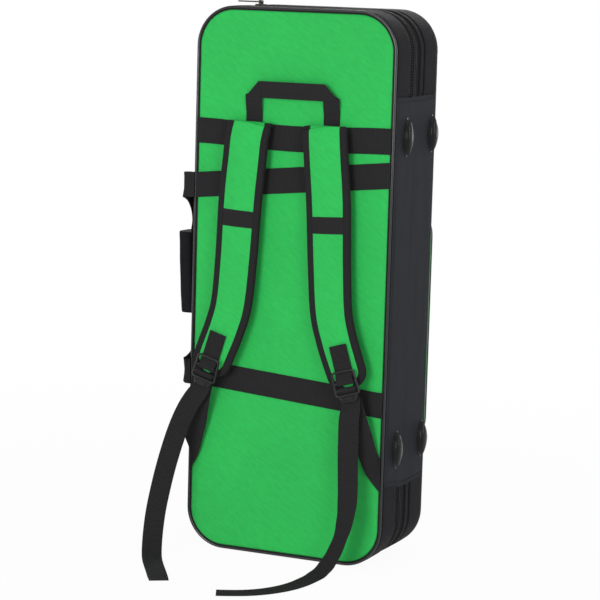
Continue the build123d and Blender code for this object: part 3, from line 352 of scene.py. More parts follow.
def flat_section(width, thick, cup=0.0):
    """Webbing's section: flat faces, soft selvedges and a slight cup."""
    half, t = width / 2, thick / 2
    edge = min(0.5 * thick, half / 4)
    top = [(-half + edge + (width - 2 * edge) * k / FLAT_STEPS, t) for k in range(FLAT_STEPS + 1)]
    low = [(a, -b) for a, b in reversed(top)]
    section = top + [(half - edge * 0.25, t * 0.6), (half, 0), (half - edge * 0.25, -t * 0.6)]
    section += low + [(-half + edge * 0.25, -t * 0.6), (-half, 0), (-half + edge * 0.25, t * 0.6)]
    return [(a, b + cup * (1 - (a / half) ** 2)) for a, b in section]


def frames_along(points, widths):
    """Stations for a ribbon: centre, width direction, face normal."""
    stations = []
    last = len(points) - 1
    for n, point in enumerate(points):
        tangent = (points[min(n + 1, last)] - points[max(n - 1, 0)]).normalized()
        across = widths[n] - tangent * widths[n].dot(tangent)
        across.normalize()
        stations.append((point, across, across.cross(tangent).normalized()))
    return stations


def dense(points, step):
    """More points on a smooth curve, with the place of each along the given ones."""
    count = len(points) - 1
    places = []
    for n in range(count):
        parts = max(1, round((points[n + 1] - points[n]).length / step))
        places += [n + k / parts for k in range(parts)]
    places.append(float(count))
    return [curve_at(points, t) for t in places], places


def joined(name, meshes, material, body, replaces, sharp=50):
    """Several bmeshes in one piece."""
    whole = meshes[0]
    for extra in meshes[1:]:
        held = bpy.data.meshes.new("held")
        extra.to_mesh(held)
        extra.free()
        whole.from_mesh(held)
        bpy.data.meshes.remove(held)
    return piece(name, whole, material, body, replaces, sharp)


THREAD_THICK = 0.7


def stitches(name, runs, body, pitch=3.6, length=2.7):
    """Thread along runs, each a list of (point, normal) close together."""
    bm = bmesh.new()
    for run in runs:
        passed = 0.0
        due = pitch / 2
        for (here, out), (there, _) in zip(run, run[1:]):
            span = (there - here).length
            while due <= passed + span and span > 0:
                centre = here + (there - here) * ((due - passed) / span)
                along = (there - here).normalized()
                side = out.cross(along).normalized()
                turn = Matrix((along, side, out)).transposed().to_4x4()
                size = Matrix.Diagonal((length / 2, THREAD_THICK / 2, THREAD_THICK / 2, 1))
                shift = Matrix.Translation(centre * MM)
                bmesh.ops.create_icosphere(
                    bm, subdivisions=1, radius=MM, matrix=shift @ turn @ size
                )
                due += pitch
            passed += span
    piece(name, bm, THREAD, body)


# The case's outline: a walk round it from the middle of the base towards the hinge side
HALF_WIDTH = 160
HEIGHT = 820
CORNER = 60
ARC = CORNER * pi / 2
RUN_X = HALF_WIDTH - CORNER
RUN_Z = HEIGHT - 2 * CORNER
ROUND = 4 * RUN_X + 2 * RUN_Z + 4 * ARC
BACK_Y = -37.5
ZIP_Y = 37.5
LID_Y = 127.5
FACE_Y = BACK_Y + 0.4
LID_FACE_Y = LID_Y - 0.4
HINGE_LOW = 120
HINGE_HIGH = 700
HINGE_START = RUN_X + ARC + HINGE_LOW - CORNER
HINGE_STOP = RUN_X + ARC + HINGE_HIGH - CORNER
LEGS = (
    (RUN_X, (0, 0), (1, 0), 0),
    (ARC, (RUN_X, CORNER), None, -90),
    (RUN_Z, (HALF_WIDTH, CORNER), (0, 1), 0),
    (ARC, (RUN_X, HEIGHT - CORNER), None, 0),
    (2 * RUN_X, (RUN_X, HEIGHT), (-1, 0), 0),
    (ARC, (-RUN_X, HEIGHT - CORNER), None, 90),
    (RUN_Z, (-HALF_WIDTH, HEIGHT - CORNER), (0, -1), 0),
    (ARC, (-RUN_X, CORNER), None, 180),
    (RUN_X, (-RUN_X, 0), (1, 0), 0),
)


def around(s):
    """Point of the outline at s along it, and its outward direction, both in XZ."""
    s %= ROUND
    for length, spot, way, start in LEGS:
        if s <= length + 1e-6:
            if way:
                return (spot[0] + way[0] * s, spot[1] + way[1] * s), (way[1], -way[0])
            turn = radians(start) + s / CORNER
            out = cos(turn), sin(turn)
            return (spot[0] + CORNER * out[0], spot[1] + CORNER * out[1]), out
        s -= length
    return (0, 0), (0, -1)


def ring(name, section, material, body, replaces=(), step=5.0, start=0.0, stop=None):
    """Strip round the case; section(s) lists its (y, inset) points."""
    closed = stop is None
    stop = ROUND if closed else stop
    rows = round((stop - start) / step)
    columns = len(section(start)) - 1

    def place(column, row):
        s = start + (stop - start) * row / rows
        y, inset = section(s)[column]
        spot, out = around(s)
        return (spot[0] - out[0] * inset, y, spot[1] - out[1] * inset), (y, s)

    piece(name, grid(columns, rows, place, merged=closed), material, body, replaces)


def in_hinge(s):
    """1 where the hinge panel covers the side, 0 elsewhere, with short slopes."""
    s %= ROUND
    return smooth_step((s - HINGE_START) / 3 + 0.5) * smooth_step((HINGE_STOP - s) / 3 + 0.5)


STRIP_STEPS = 14
UNDER_PANEL = 1.3


def strip_section(y_from, y_to, rise, tucks, wrinkle=0.0):
    """Cloth between two seams: it dives into both, and lies lower under the hinge panel."""
    def section(s):
        points = []
        for k in range(STRIP_STEPS + 1):
            t = 0.5 - 0.5 * cos(pi * k / STRIP_STEPS)
            y = mix(y_from, y_to, t)
            edge = min(y - y_from, y_to - y)
            dive = tucks[t > 0.5] * tucked(edge, 3.2)
            crown = rise * (1 - (2 * t - 1) ** 4)
            crown += wrinkle * rough_at(s / 1.6, y, 7.0, 34) * risen(edge, 8)
            inset = dive - crown + UNDER_PANEL * in_hinge(s)
            points.append((y, inset))
        return points
    return section


# Panels
def rounded(u, v, half_x, half_z, radius):
    """Square -1..1 to a rounded rectangle about the middle, with the distance in from its edge."""
    x, z = u * half_x, v * half_z
    a, b = (abs(x) - half_x + radius) / radius, (abs(z) - half_z + radius) / radius
    if a <= 0 or b <= 0:
        return x, z, min(half_x - abs(x), half_z - abs(z))
    reach = max(a, b)
    turn = pi / 4 * (b / a) if a >= b else pi / 2 - pi / 4 * (a / b)
    x = copysign(half_x - radius + radius * reach * cos(turn), x)
    z = copysign(half_z - radius + radius * reach * sin(turn), z)
    return x, z, radius * (1 - reach)


CROWDING = 1.42


def crowd(t):
    """Crowds grid lines towards the edges."""
    return sin(t * CROWDING) / sin(CROWDING)


def crowded(column, row, size):
    """Place of a grid's point from -1 to 1 each way, for a grid of size cells."""
    return crowd(2 * column / size[0] - 1), crowd(2 * row / size[1] - 1)


COVER_GRID = (90, 190)
COVER_INSET = 4.4


def panel(name, inset, depth, material, body, replaces=(), size=COVER_GRID):
    """Rounded panel; depth(x, z, edge) gives Y from the distance in from its edge."""
    def place(column, row):
        x, z, edge = rounded(*crowded(column, row, size), HALF_WIDTH - inset, HEIGHT / 2 - inset,
                             CORNER - inset)
        z += HEIGHT / 2
        return (x, depth(x, z, edge), z), (x, z)

    piece(name, grid(*size, place), material, body, replaces)


def cover_depth(face, out):
    """Cover cloth: tucked under the piping, rolled at the edge, slack here and there."""
    def depth(x, z, edge):
        roll = 1.5 * exp(-edge / 9)
        slack = 0.35 * max(0.0, rough_at(x, 0, z, 70)) * risen(edge, 20)
        slack += 0.22 * max(0.0, rough_at(x * 1.4, 3, z / 2.2, 26)) * exp(-edge / 26)
        return face - out * (3.2 * tucked(edge, 3.4) + roll + slack)
    return depth


panel("back_panel_cloth", COVER_INSET, cover_depth(FACE_Y, -1), GREEN, "back_half", ["back_cover"])
panel("lid_panel_cloth", COVER_INSET, cover_depth(LID_FACE_Y, 1), GREEN, "lid_half", ["lid_cover"])


# Piping, gussets, welt, zip tapes and chains
def cord_section(y, inset, radius, count=12):
    points = [(y + a, inset + b) for a, b in circle(radius, count, shut=1)]
    return lambda s: points


PIPE_RADIUS = 2.2
GUSSET_IN = 4.0

for half, edge_y, way in (("back", BACK_Y, 1), ("lid", LID_Y, -1)):
    ring(f"{half}_seam_cord", cord_section(edge_y + way * 1.9, 5.0, 1.0, 8), THREAD, f"{half}_half")
    ring(f"{half}_piping_cord", cord_section(edge_y + way * PIPE_RADIUS, PIPE_RADIUS, PIPE_RADIUS),
         PIPE, f"{half}_half", [f"{half}_piping"])
for name, half, node, section in (
    ("back_gusset_cloth", "back_half", "back_gusset",
     strip_section(BACK_Y + GUSSET_IN, ZIP_Y - 17.6, 0.25, (2.6, 4.2), 0.3)),
    ("lid_gusset_cloth", "lid_half", "lid_gusset",
     strip_section(ZIP_Y + 34.2, LID_Y - GUSSET_IN, 0.3, (4.2, 2.6), 0.35)),
    ("zip_welt_cloth", "lid_half", "lid_zip_welt",
     strip_section(ZIP_Y + 18, ZIP_Y + 34.1, 0.1, (1.0, 4.2))),
):
    ring(name, section, BLACK, half, [node], step=4)

ZIP_START = HINGE_STOP - 9
ZIP_STOP = HINGE_START + 10 + ROUND
RIB_PITCH = 4.0
RIB_RISE = 0.55
TAPE_PROFILE = (
    (17.4, 1.5, 0.3), (15.5, 1.4, 0.9), (13, 1.3, 1), (10, 1.25, 1), (7, 1.25, 1), (5.2, 1.3, 1),
    (4.4, 1.9, 0), (4.2, 3.4, 0),
)
CHAIN_PROFILE = (
    (4.9, 3.6), (4.9, 1.2), (4.2, 0.75), (2.8, 0.5), (1.5, 0.7), (0.85, 1.3), (0.8, 3.6),
)
CHAIN_DOWN = 0.25


def tape_section(side):
    """Ribbed tape; its outer edge runs under the gusset or over the welt."""
    profile = ((18.4, 3.4 if side < 0 else 1.6, 0), *TAPE_PROFILE)

    def section(s):
        ribs = RIB_RISE * sin(2 * pi * s / RIB_PITCH)
        return [(ZIP_Y + side * off, inset - ribs * share) for off, inset, share in profile]
    return section


def chain_section(side):
    def section(s):
        tooth = RIB_RISE * abs(sin(pi * s / RIB_PITCH))
        return [(ZIP_Y + side * off, inset + CHAIN_DOWN - (tooth if inset < 1.25 else 0))
                for off, inset in CHAIN_PROFILE]
    return section


for side, half in ((-1, "back_half"), (1, "lid_half")):
    short = half.split("_")[0]
    ring(f"{short}_tape_cloth", tape_section(side), TAPE, half, [f"{short}_zip_tape"],
         step=0.8, start=ZIP_START, stop=ZIP_STOP)
    ring(f"{short}_zip_coil", chain_section(side), COIL, half, [f"{short}_zip_chain"],
         step=0.6, start=ZIP_START, stop=ZIP_STOP)

# Hinge panel: one sheet over both halves, sewn down all round
PANEL_LOW_Y = BACK_Y + 4.2
PANEL_HIGH_Y = LID_Y - 4.2
PANEL_FACE = HALF_WIDTH + 0.25
HEM = 7.5
HINGE_SEAMS = ((0, 2.4), (0, 6.6), (1, -2.4), (1, -6.6))


def hinge_edges(t):
    """Heights of the panel's lower and upper edge at a share of the way from back to lid."""
    low = HINGE_LOW + 3.6 - 11.5 * smooth_step(t / 0.55) + 1.5 * smooth_step(2 * t - 1)
    return low, HINGE_HIGH - 2.6 - sin(pi * t)


def hinge_place(column, row):
    t = column / COVER_GRID[0]
    y = mix(PANEL_LOW_Y, PANEL_HIGH_Y, t)
    low, high = hinge_edges(t)
    z = mix(low, high, crowd(2 * row / COVER_GRID[1] - 1) / 2 + 0.5)
    edge = min(z - low, high - z)
    side = min(y - PANEL_LOW_Y, PANEL_HIGH_Y - y)
    dive = 3.2 * tucked(side, 2.2) + 1.1 * tucked(edge, 1.6)
    swell = 0.45 * smooth_step((HEM - edge) / 1.5) - 0.45 * bell(edge - HEM - 0.1, 0.9)
    swell += 0.5 * risen(side, 12) * risen(edge, 16) - 0.4 * bell(side - 7, 1.1) * risen(edge, 12)
    swell += 0.3 * rough_at(y * 1.2, 5, z / 3.0, 30) * risen(side, 14) * risen(edge, 20)
    return (PANEL_FACE + swell - dive - 0.12 * bell(y - ZIP_Y, 4), y, z), (y, z)


hinge_cloth = piece("hinge_panel_cloth", grid(*COVER_GRID, hinge_place), SMOOTH_BLACK, None,
                    ["hinge_panel_back", "hinge_panel_lid"])
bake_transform(hinge_cloth)


def hinge_run(end, rise, y_from, y_to, count=40):
    run = []
    for k in range(count + 1):
        y = mix(y_from, y_to, k / count)
        z = hinge_edges((y - PANEL_LOW_Y) / (PANEL_HIGH_Y - PANEL_LOW_Y))[end] + rise
        run.append((Vector((PANEL_FACE + 0.5, y, z)), Vector((1, 0, 0))))
    return run


for half, y_from, y_to in (
    ("back_half", PANEL_LOW_Y + 2, ZIP_Y - 2), ("lid_half", ZIP_Y + 2, PANEL_HIGH_Y - 2),
):
    runs = [hinge_run(end, rise, y_from, y_to) for end, rise in HINGE_SEAMS]
    stitches(f"{half}_hinge_stitches", runs, half)


# Webbing bands across the panels
WEB_T = 1.6
WIDE_WEB = 38
BAND_END = 156.2
BAND_STEPS = 78
SEAM_IN = 3
THREAD_LIFT = 0.05


def flat_band(name, y, out, left_z, right_z, sag):
    """Band from piping to piping, with its ends pushed down under the piping."""
    stations, runs = [], [[], []]
    across, outward = Vector((0, 0, 1)), Vector((0, out, 0))
    for k in range(BAND_STEPS + 1):
        x = mix(-BAND_END, BAND_END, k / BAND_STEPS)
        z = mix(left_z, right_z, k / BAND_STEPS) + WIDE_WEB / 2
        z += sag * (0.45 - cos(pi * x / (2 * HALF_WIDTH)) ** 2)
        off = WEB_T / 2 + 0.12 * rough_at(x, z, 1, 18) - 0.5 * exp(-(BAND_END - abs(x)) / 5)
        centre = Vector((x, y + out * off, z))
        stations.append((centre, across, outward))
        for run, a in zip(runs, (-WIDE_WEB / 2 + SEAM_IN, WIDE_WEB / 2 - SEAM_IN)):
            run.append((centre + across * a + outward * (WEB_T / 2 + THREAD_LIFT), outward))
    body = "back_half" if out < 0 else "lid_half"
    bm = swept(stations, [flat_section(WIDE_WEB, WEB_T)] * len(stations))
    piece(f"{name}_web", bm, WEB, body, [f"{name}_band"])
    stitches(f"{name}_web_stitches", runs, body)


# Heights are of a band's lower edge, at the left and at the right
for name, face_y, out, left_z, right_z, sag in (
    ("yoke", FACE_Y, -1, 613, 613, 4.6),
    ("upper_handle", FACE_Y, -1, 533, 566, 0),
    ("lower_handle", FACE_Y, -1, 251, 228, 0),
    ("lid_handle", LID_FACE_Y, 1, 533, 533, 0),
):
    flat_band(name, face_y, out, left_z, right_z, sag)

# Grab handle: legs and bar of flat webbing, folded over at the corners
GRAB_Y = -38.0
GRAB_AXIS_Z = 665
GRAB_TILT = radians(9)
# (x, up) corners of a leg and of the folded corner above it, on the right, and of the bar
GRAB_LEG = ((75, -13.5), (49, -13.5), (49, 40.5), (75, 26.5))
GRAB_FOLD = ((75, 23.5), (53, 47.5), (44, 47.5), (49, 22.5))
GRAB_BAR = ((-53.5, 47.5), (-48, 23), (48, 23), (53.5, 47.5))


def grab_point(x, up, lift):
    """Place on the handle's slanted plane; it bows out a little between its feet."""
    bow = 2.0 * sin(pi * min(1.0, max(0.0, up) / 60))
    tilt = sin(GRAB_TILT) * max(0.0, up) + bow * (1 - abs(x) / 150)
    return Vector((x, GRAB_Y - tilt - lift, GRAB_AXIS_Z + up * cos(GRAB_TILT)))


def grab_mesh(corners, lift, columns=10, rows=24):
    """Quarter of the handle between four (x, up) corners, as thin as webbing."""
    def place(column, row):
        s, t = column / columns, row / rows
        low = [mix(corners[0][n], corners[1][n], s) for n in (0, 1)]
        high = [mix(corners[3][n], corners[2][n], s) for n in (0, 1)]
        x, up = mix(low[0], high[0], t), mix(low[1], high[1], t)
        edge = min(s, 1 - s) * 26
        dip = 0.5 * tucked(edge, 1.2)
        long_way = abs(high[1] - low[1]) > abs(high[0] - low[0])
        uv = (x, up) if long_way else (up, x)
        return grab_point(x, up, lift - dip + 0.1 * rough_at(x, up, lift, 14)), uv

    bm = grid(columns, rows, place)
    bmesh.ops.solidify(bm, geom=bm.faces, thickness=-1.3 * MM)
    return bm


grab_parts = []
for side in (-1, 1):
    for corners, lift in ((GRAB_LEG, 0.35), (GRAB_FOLD, 1.15)):
        grab_parts.append(grab_mesh([(side * x, up) for x, up in corners], lift))
grab_parts.append(grab_mesh(GRAB_BAR, 0.9, 12, 40))
grab = joined("grab_handle_web", grab_parts, WEB, None, ["grab_handle", "grab_handle_feet"])
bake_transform(grab)

# Shoulder straps: shares of the drop, the splay, the stand-off, the thickness and the width
STRAP_PATH_SHARES = (
    (0.065, 0.05, 0.98, 1.0, 1.0),
    (0.13, 0.09, 1.0, 1.0, 1.0),
    (0.29, 0.19, 1.0, 1.0, 1.0),
    (0.52, 0.27, 1.02, 1.0, 0.97),
    (0.70, 0.37, 1.08, 1.0, 0.95),
    (0.80, 0.55, 1.14, 1.0, 0.93),
    (0.87, 0.73, 1.2, 1.0, 0.92),
    (0.94, 0.92, 1.22, 0.95, 0.9),
    (0.985, 1.04, 1.22, 0.8, 0.88),
)
STRAP_WIDTH = 70
STRAP_DROP = 385
STRAP_SPLAY = 55
STRAP_TOP_Z = 651.3
STRAP_ROOT_Y = -40.9
STRAP_TOP_DROP = 6.5
STRAP_STAND_OFF = 16
PAD_THICK = 9
PAD_END = 3.5
BINDING = 10.8
END_ROUND = 24
KEEPER_UP = 243
KEEPER_WIDTH = 25


class Strap:
    """The strap's middle surface: a frame, a width and an edge thickness at each length."""

    def __init__(self, top_x):
        side = 1 if top_x > 0 else -1
        points, widths, edges = [], [], []
        for step in range(4):
            turn = radians(45 * step)
            top_z = STRAP_TOP_Z - STRAP_TOP_DROP + 3 * sin(turn)
            points.append(Vector((top_x, STRAP_ROOT_Y - 0.4 - 5.0 * (1 - cos(turn)), top_z)))
            widths.append(STRAP_WIDTH)
            edges.append(PAD_THICK / 3 + 6 * step / 4)
        for drop, splay, stand_off, thick, wide in STRAP_PATH_SHARES:
            points.append(Vector((
                top_x + side * STRAP_SPLAY * splay,
                BACK_Y - STRAP_STAND_OFF * stand_off,
                STRAP_TOP_Z - STRAP_DROP * drop,
            )))
            widths.append(STRAP_WIDTH * wide)
            edges.append(PAD_THICK * thick)
        self.points, places = dense(points, 2.5)
        self.widths = [curve_at(widths, t) for t in places]
        self.edges = [curve_at(edges, t) for t in places]
        self.lengths = walked(self.points)
        self.length = self.lengths[-1]
        self.keeper = self.length - KEEPER_UP

    def at(self, length):
        """Centre, across, along, outward, width and edge thickness at a length from the top."""
        length = min(max(length, 0.0), self.length)
        n = 0
        while n < len(self.lengths) - 2 and self.lengths[n + 1] < length:
            n += 1
        f = (length - self.lengths[n]) / (self.lengths[n + 1] - self.lengths[n])
        ahead = min(n + 3, len(self.points) - 1)
        along = (self.points[ahead] - self.points[max(n - 2, 0)]).normalized()
        centre = self.points[n].lerp(self.points[n + 1], f)
        lean = along.x / max(abs(along.z), 0.5) if abs(along.z) > 0.5 else 0.0
        across = Vector((1, 0, lean))
        across = (across - along * across.dot(along)).normalized()
        out = across.cross(along).normalized()
        if out.y > 0 and along.z < -0.5:
            out = -out
        width = mix(self.widths[n], self.widths[n + 1], f)
        edge = mix(self.edges[n], self.edges[n + 1], f)
        return centre, across, along, out, width, edge

    def half_at(self, length):
        """Half the strap's width, drawn in by the rounded end."""
        half = self.at(length)[4] / 2
        left = self.length - length
        if left < END_ROUND:
            half -= END_ROUND - sqrt(max(0.0, END_ROUND**2 - (END_ROUND - left) ** 2))
        return half

    def face(self, length, a, out_side=1):
        """Distance from the middle surface to the face, across the strap at a."""
        edge = self.at(length)[5]
        half = max(self.half_at(length) - BINDING - 0.5, 1.0)
        share = min(1.0, abs(a) / half)
        crown = 2.6 * edge / PAD_THICK * (1 - share**2.4)
        pinch = 1.1 * bell(length - self.keeper, 15) if out_side > 0 else 0
        slack = 0.3 * rough_at(a * 1.5, length / 1.8, out_side * 9, 17) * (1 - share**4)
        return edge / 2 - 0.4 + max(0.2, crown - pinch) + slack


def strap_pad(side, strap, rows=100, columns=14):
    """Crowned pad, with its rows closer together at the fold and at the end."""
    stations, sections = [], []
    reach = strap.length - PAD_END
    for k in range(rows + 1):
        eased = 0.5 - 0.5 * cos(pi * k / rows)
        length = reach * eased * 0.35 + reach * k / rows * 0.65
        centre, across, along, out, width, edge = strap.at(length)
        half = max(strap.half_at(length) - 4, 1.5)
        places = [-half * cos(pi * n / columns) for n in range(columns + 1)]
        front = [(a, strap.face(length, a)) for a in places]
        rear = [(a, -strap.face(length, a, -1)) for a in places]
        stations.append((centre, across, out))
        sections.append(front + rear[::-1])
    pad = piece(f"{side}_pad_cloth", swept(stations, sections), GREEN, f"{side}_strap",
                [f"{side}_strap_pad"], sharp=70)


def strap_binding(side, strap, rows=80):
    """Tape folded over the strap's edge: down one side, round the end and up the other."""
    down = strap.length - END_ROUND
    falls = [(down * (k / rows) ** 1.6, 0.0) for k in range(rows)]
    falls += [(down, radians(90 * k / 12)) for k in range(13)]
    route = [(-1, *row) for row in falls] + [(1, *row) for row in reversed(falls)]
    stations, sections = [], []
    for sign, length, turn in route:
        centre, across, along, out, width, edge = strap.at(length)
        reach = END_ROUND - BINDING / 2
        a = sign * (width / 2 - END_ROUND + reach * cos(turn))
        centre = centre + across * a + along * (reach * sin(turn))
        outward = (across * (sign * cos(turn)) + along * sin(turn)).normalized()
        h = edge / 2 + 0.35
        b = BINDING / 2
        profile = [(-b, h - 0.6), (-b + 0.5, h + 0.05), (-b + 2.2, h + 0.15), (b - 3.4, h - 0.1),
                   (b - 1.6, h * 0.86), (b - 0.5, h * 0.55), (b, 0)]
        stations.append((centre, outward, out))
        sections.append(profile + [(p, -q) for p, q in profile[-2::-1]])
    name, body = f"{side}_binding_tape", f"{side}_strap"
    piece(name, swept(stations, sections), BIND, body, [f"{side}_strap_binding"], sharp=60)
    runs = [[], []]
    for (centre, outward, out), section in zip(stations, sections):
        for run, sign in zip(runs, (1, -1)):
            spot = centre + outward * (-BINDING / 2 + 1.6) + out * sign * (section[1][1] + 0.1)
            run.append((spot, out * sign))
    stitches(name + "_stitches", runs, body)


def strap_keeper(side, strap, columns=20, rows=6):
    """Webbing across the pad, standing up a little between its two sewn edges."""
    def place(column, row):
        length = strap.keeper - KEEPER_WIDTH / 2 + KEEPER_WIDTH * row / rows
        centre, across, along, out, wide, edge = strap.at(length)
        half = strap.half_at(length) - BINDING + 0.8
        a = -half + 2 * half * column / columns
        lift = strap.face(length, a) + 0.25 + (0.25 if 0 < row < rows else 0)
        return centre + across * a + out * lift, (length, a)

    bm = grid(columns, rows, place)
    bmesh.ops.solidify(bm, geom=bm.faces, thickness=-1.2 * MM)
    piece(f"{side}_keeper_web", bm, WEB, f"{side}_strap", [f"{side}_strap_keeper"])


# The ladder lock's bar on each strap: its place and the direction across it
LOCKS = {
    "left": (Vector((-112.7, -67.86, 294.3)), Vector((0.9563, 0, -0.2924))),
    "right": (Vector((105.7, -67.86, 294.3)), Vector((0.9563, 0, 0.2924))),
}
OUTWARD = Vector((0, -1, 0))
BAR_HEIGHT = 4.1
LOCK_TAB_BAR = -12.5
LOCK_TAIL_BAR = -23.2
LOCK_CORNERS = ((-17.3, 4.2, 6.9), (17.3, 4.2, 6.9), (18.8, -31, 5.6), (-18.8, -31, 5.6))
LOCK_BEND = 4.5
LIP_GRID = 24
LIP_REACH = 11
LIP_RIBS = 5
TAIL_WIDTH = 30
TAB_WIDTH = 27


def lock_frame(side):
    """Origin on the strap's face under the bar, with directions across, up and out."""
    bar, across = LOCKS[side]
    return bar - OUTWARD * BAR_HEIGHT, across, OUTWARD.cross(across)


def tube(points, radius, looped=False, squash=1.0, count=10):
    """Round bar along points, which squash flattens towards the strap."""
    stations = []
    last = len(points) - 1
    for n, point in enumerate(points):
        if looped:
            tangent = (points[(n + 1) % len(points)] - points[n - 1]).normalized()
        else:
            tangent = (points[min(n + 1, last)] - points[max(n - 1, 0)]).normalized()
        out = OUTWARD - tangent * OUTWARD.dot(tangent)
        if out.length < 0.05:
            out = Vector((0, 0, 1)) - tangent * tangent.z
        out.normalize()
        stations.append((point, out.cross(tangent).normalized(), out))
    return swept(stations, [circle(radius, count, squash)] * len(stations), looped)


def ladder_lock(side, body):
    """Frame with a bar over the tab, two bars for the webbing and a ribbed thumb lip."""
    origin, across, up = lock_frame(side)

    def at(x, y, z):
        return origin + across * x + up * y + OUTWARD * z

    points = []
    for n, corner in enumerate(LOCK_CORNERS):
        here = Vector(corner)
        to_before = (Vector(LOCK_CORNERS[n - 1]) - here).normalized() * LOCK_BEND
        to_after = (Vector(LOCK_CORNERS[(n + 1) % 4]) - here).normalized() * LOCK_BEND
        for k in range(7):
            t = k / 6
            spot = (here + to_before) * (1 - t) ** 2 + here * 2 * t * (1 - t)
            points.append(at(*(spot + (here + to_after) * t**2)))
    parts = [tube(points, 1.7, looped=True, squash=1.25)]
    for y in (LOCK_TAB_BAR, LOCK_TAIL_BAR):
        half = mix(17.3, 18.8, (4.2 - y) / 35.2)
        bar = ((-half, 5.6), (3 - half, 4.3), (half - 3, 4.3), (half, 5.6))
        parts.append(tube([at(x, y, z) for x, z in bar], 2.0))

    def lip_place(column, row):
        s, t = 2 * column / LIP_GRID - 1, row / LIP_GRID
        reach = LIP_REACH * sqrt(max(0.0, 1 - abs(s) ** 2.3))
        ribs = 0.4 * sin(t * LIP_RIBS * 2 * pi) * risen(reach, 8)
        ribs *= smooth_step((0.9 - abs(s)) / 0.2)
        return at(s * 14.8, -30.5 - t * reach, 5.6 + 2.2 * sin(t * 1.5) + ribs), (s, t)

    lip = grid(LIP_GRID, LIP_GRID, lip_place, merged=True)
    bmesh.ops.solidify(lip, geom=lip.faces, thickness=-2.2 * MM)
    parts.append(lip)
    joined(f"{side}_lock_moulding", parts, PLASTIC, body, [f"{side}_ladder_lock"], sharp=45)

    # The tail's webbing over its bar, down to where the free tail starts
    profile = [(-29.5, 2.0), (-27, 4.4), (-25.6, 6.2), (-23.2, 7.3), (-20.8, 6.3), (-19.9, 4.3)]
    profile += [(-20.8, 2.3), (-23.5, 1.0), (-27.5, 0.85)]
    points, _ = dense([at(0, y, z) for y, z in profile], 1.6)
    frames = frames_along(points, [across] * len(points))
    wrap = swept(frames, [flat_section(TAIL_WIDTH - 1, 1.3)] * len(points))
    piece(f"{side}_lock_wrap", wrap, WEB, body)


# The tab's box seam with its cross: (x, y) from the lock's origin
TAB_LOW, TAB_HIGH, TAB_SIDE = 18, 39, 10.5
TAB_SEAM = (
    (-TAB_SIDE, TAB_LOW), (TAB_SIDE, TAB_LOW), (TAB_SIDE, TAB_HIGH), (-TAB_SIDE, TAB_HIGH),
    (-TAB_SIDE, TAB_LOW), (TAB_SIDE, TAB_HIGH), (TAB_SIDE, TAB_LOW), (-TAB_SIDE, TAB_HIGH),
)


def buckle_tab(side, body):
    """Webbing sewn to the strap, under the lock's top bar, round the next and back below."""
    origin, across, up = lock_frame(side)
    profile = [(43, 2.3), (36, 2.35), (24, 2.5), (12, 2.8), (4, 3.3), (-4, 5.0), (-9.5, 6.7)]
    profile.append((LOCK_TAB_BAR, 7.3))
    profile += [(LOCK_TAB_BAR - 3.0 * sin(t), 4.3 + 3.0 * cos(t)) for t in (0.7, 1.4, 2.1, 2.8)]
    profile += [(-4, 1.0), (5, 0.8), (16, 0.85), (42, 0.8)]
    points, _ = dense([origin + up * y + OUTWARD * z for y, z in profile], 2.0)
    frames = frames_along(points, [across] * len(points))
    bm = swept(frames, [flat_section(TAB_WIDTH, WEB_T)] * len(points))
    tab = piece(f"{side}_tab_web", bm, WEB, None, [f"{side}_buckle_tab"])
    start, end = ((origin + up * y + OUTWARD * BAR_HEIGHT) * MM for y in (7, 0))
    tuple(start)
    tuple(end)
    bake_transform(tab)
    run = []
    for n, here in enumerate(TAB_SEAM[:-1]):
        for k in range(12):
            x, y = (mix(here[i], TAB_SEAM[n + 1][i], k / 12) for i in (0, 1))
            z = 3.2 + 0.02 * (TAB_HIGH - y)
            run.append((origin + across * x + up * y + OUTWARD * z, OUTWARD))
    stitches(f"{side}_tab_stitches", [run], body, pitch=3.2, length=2.4)


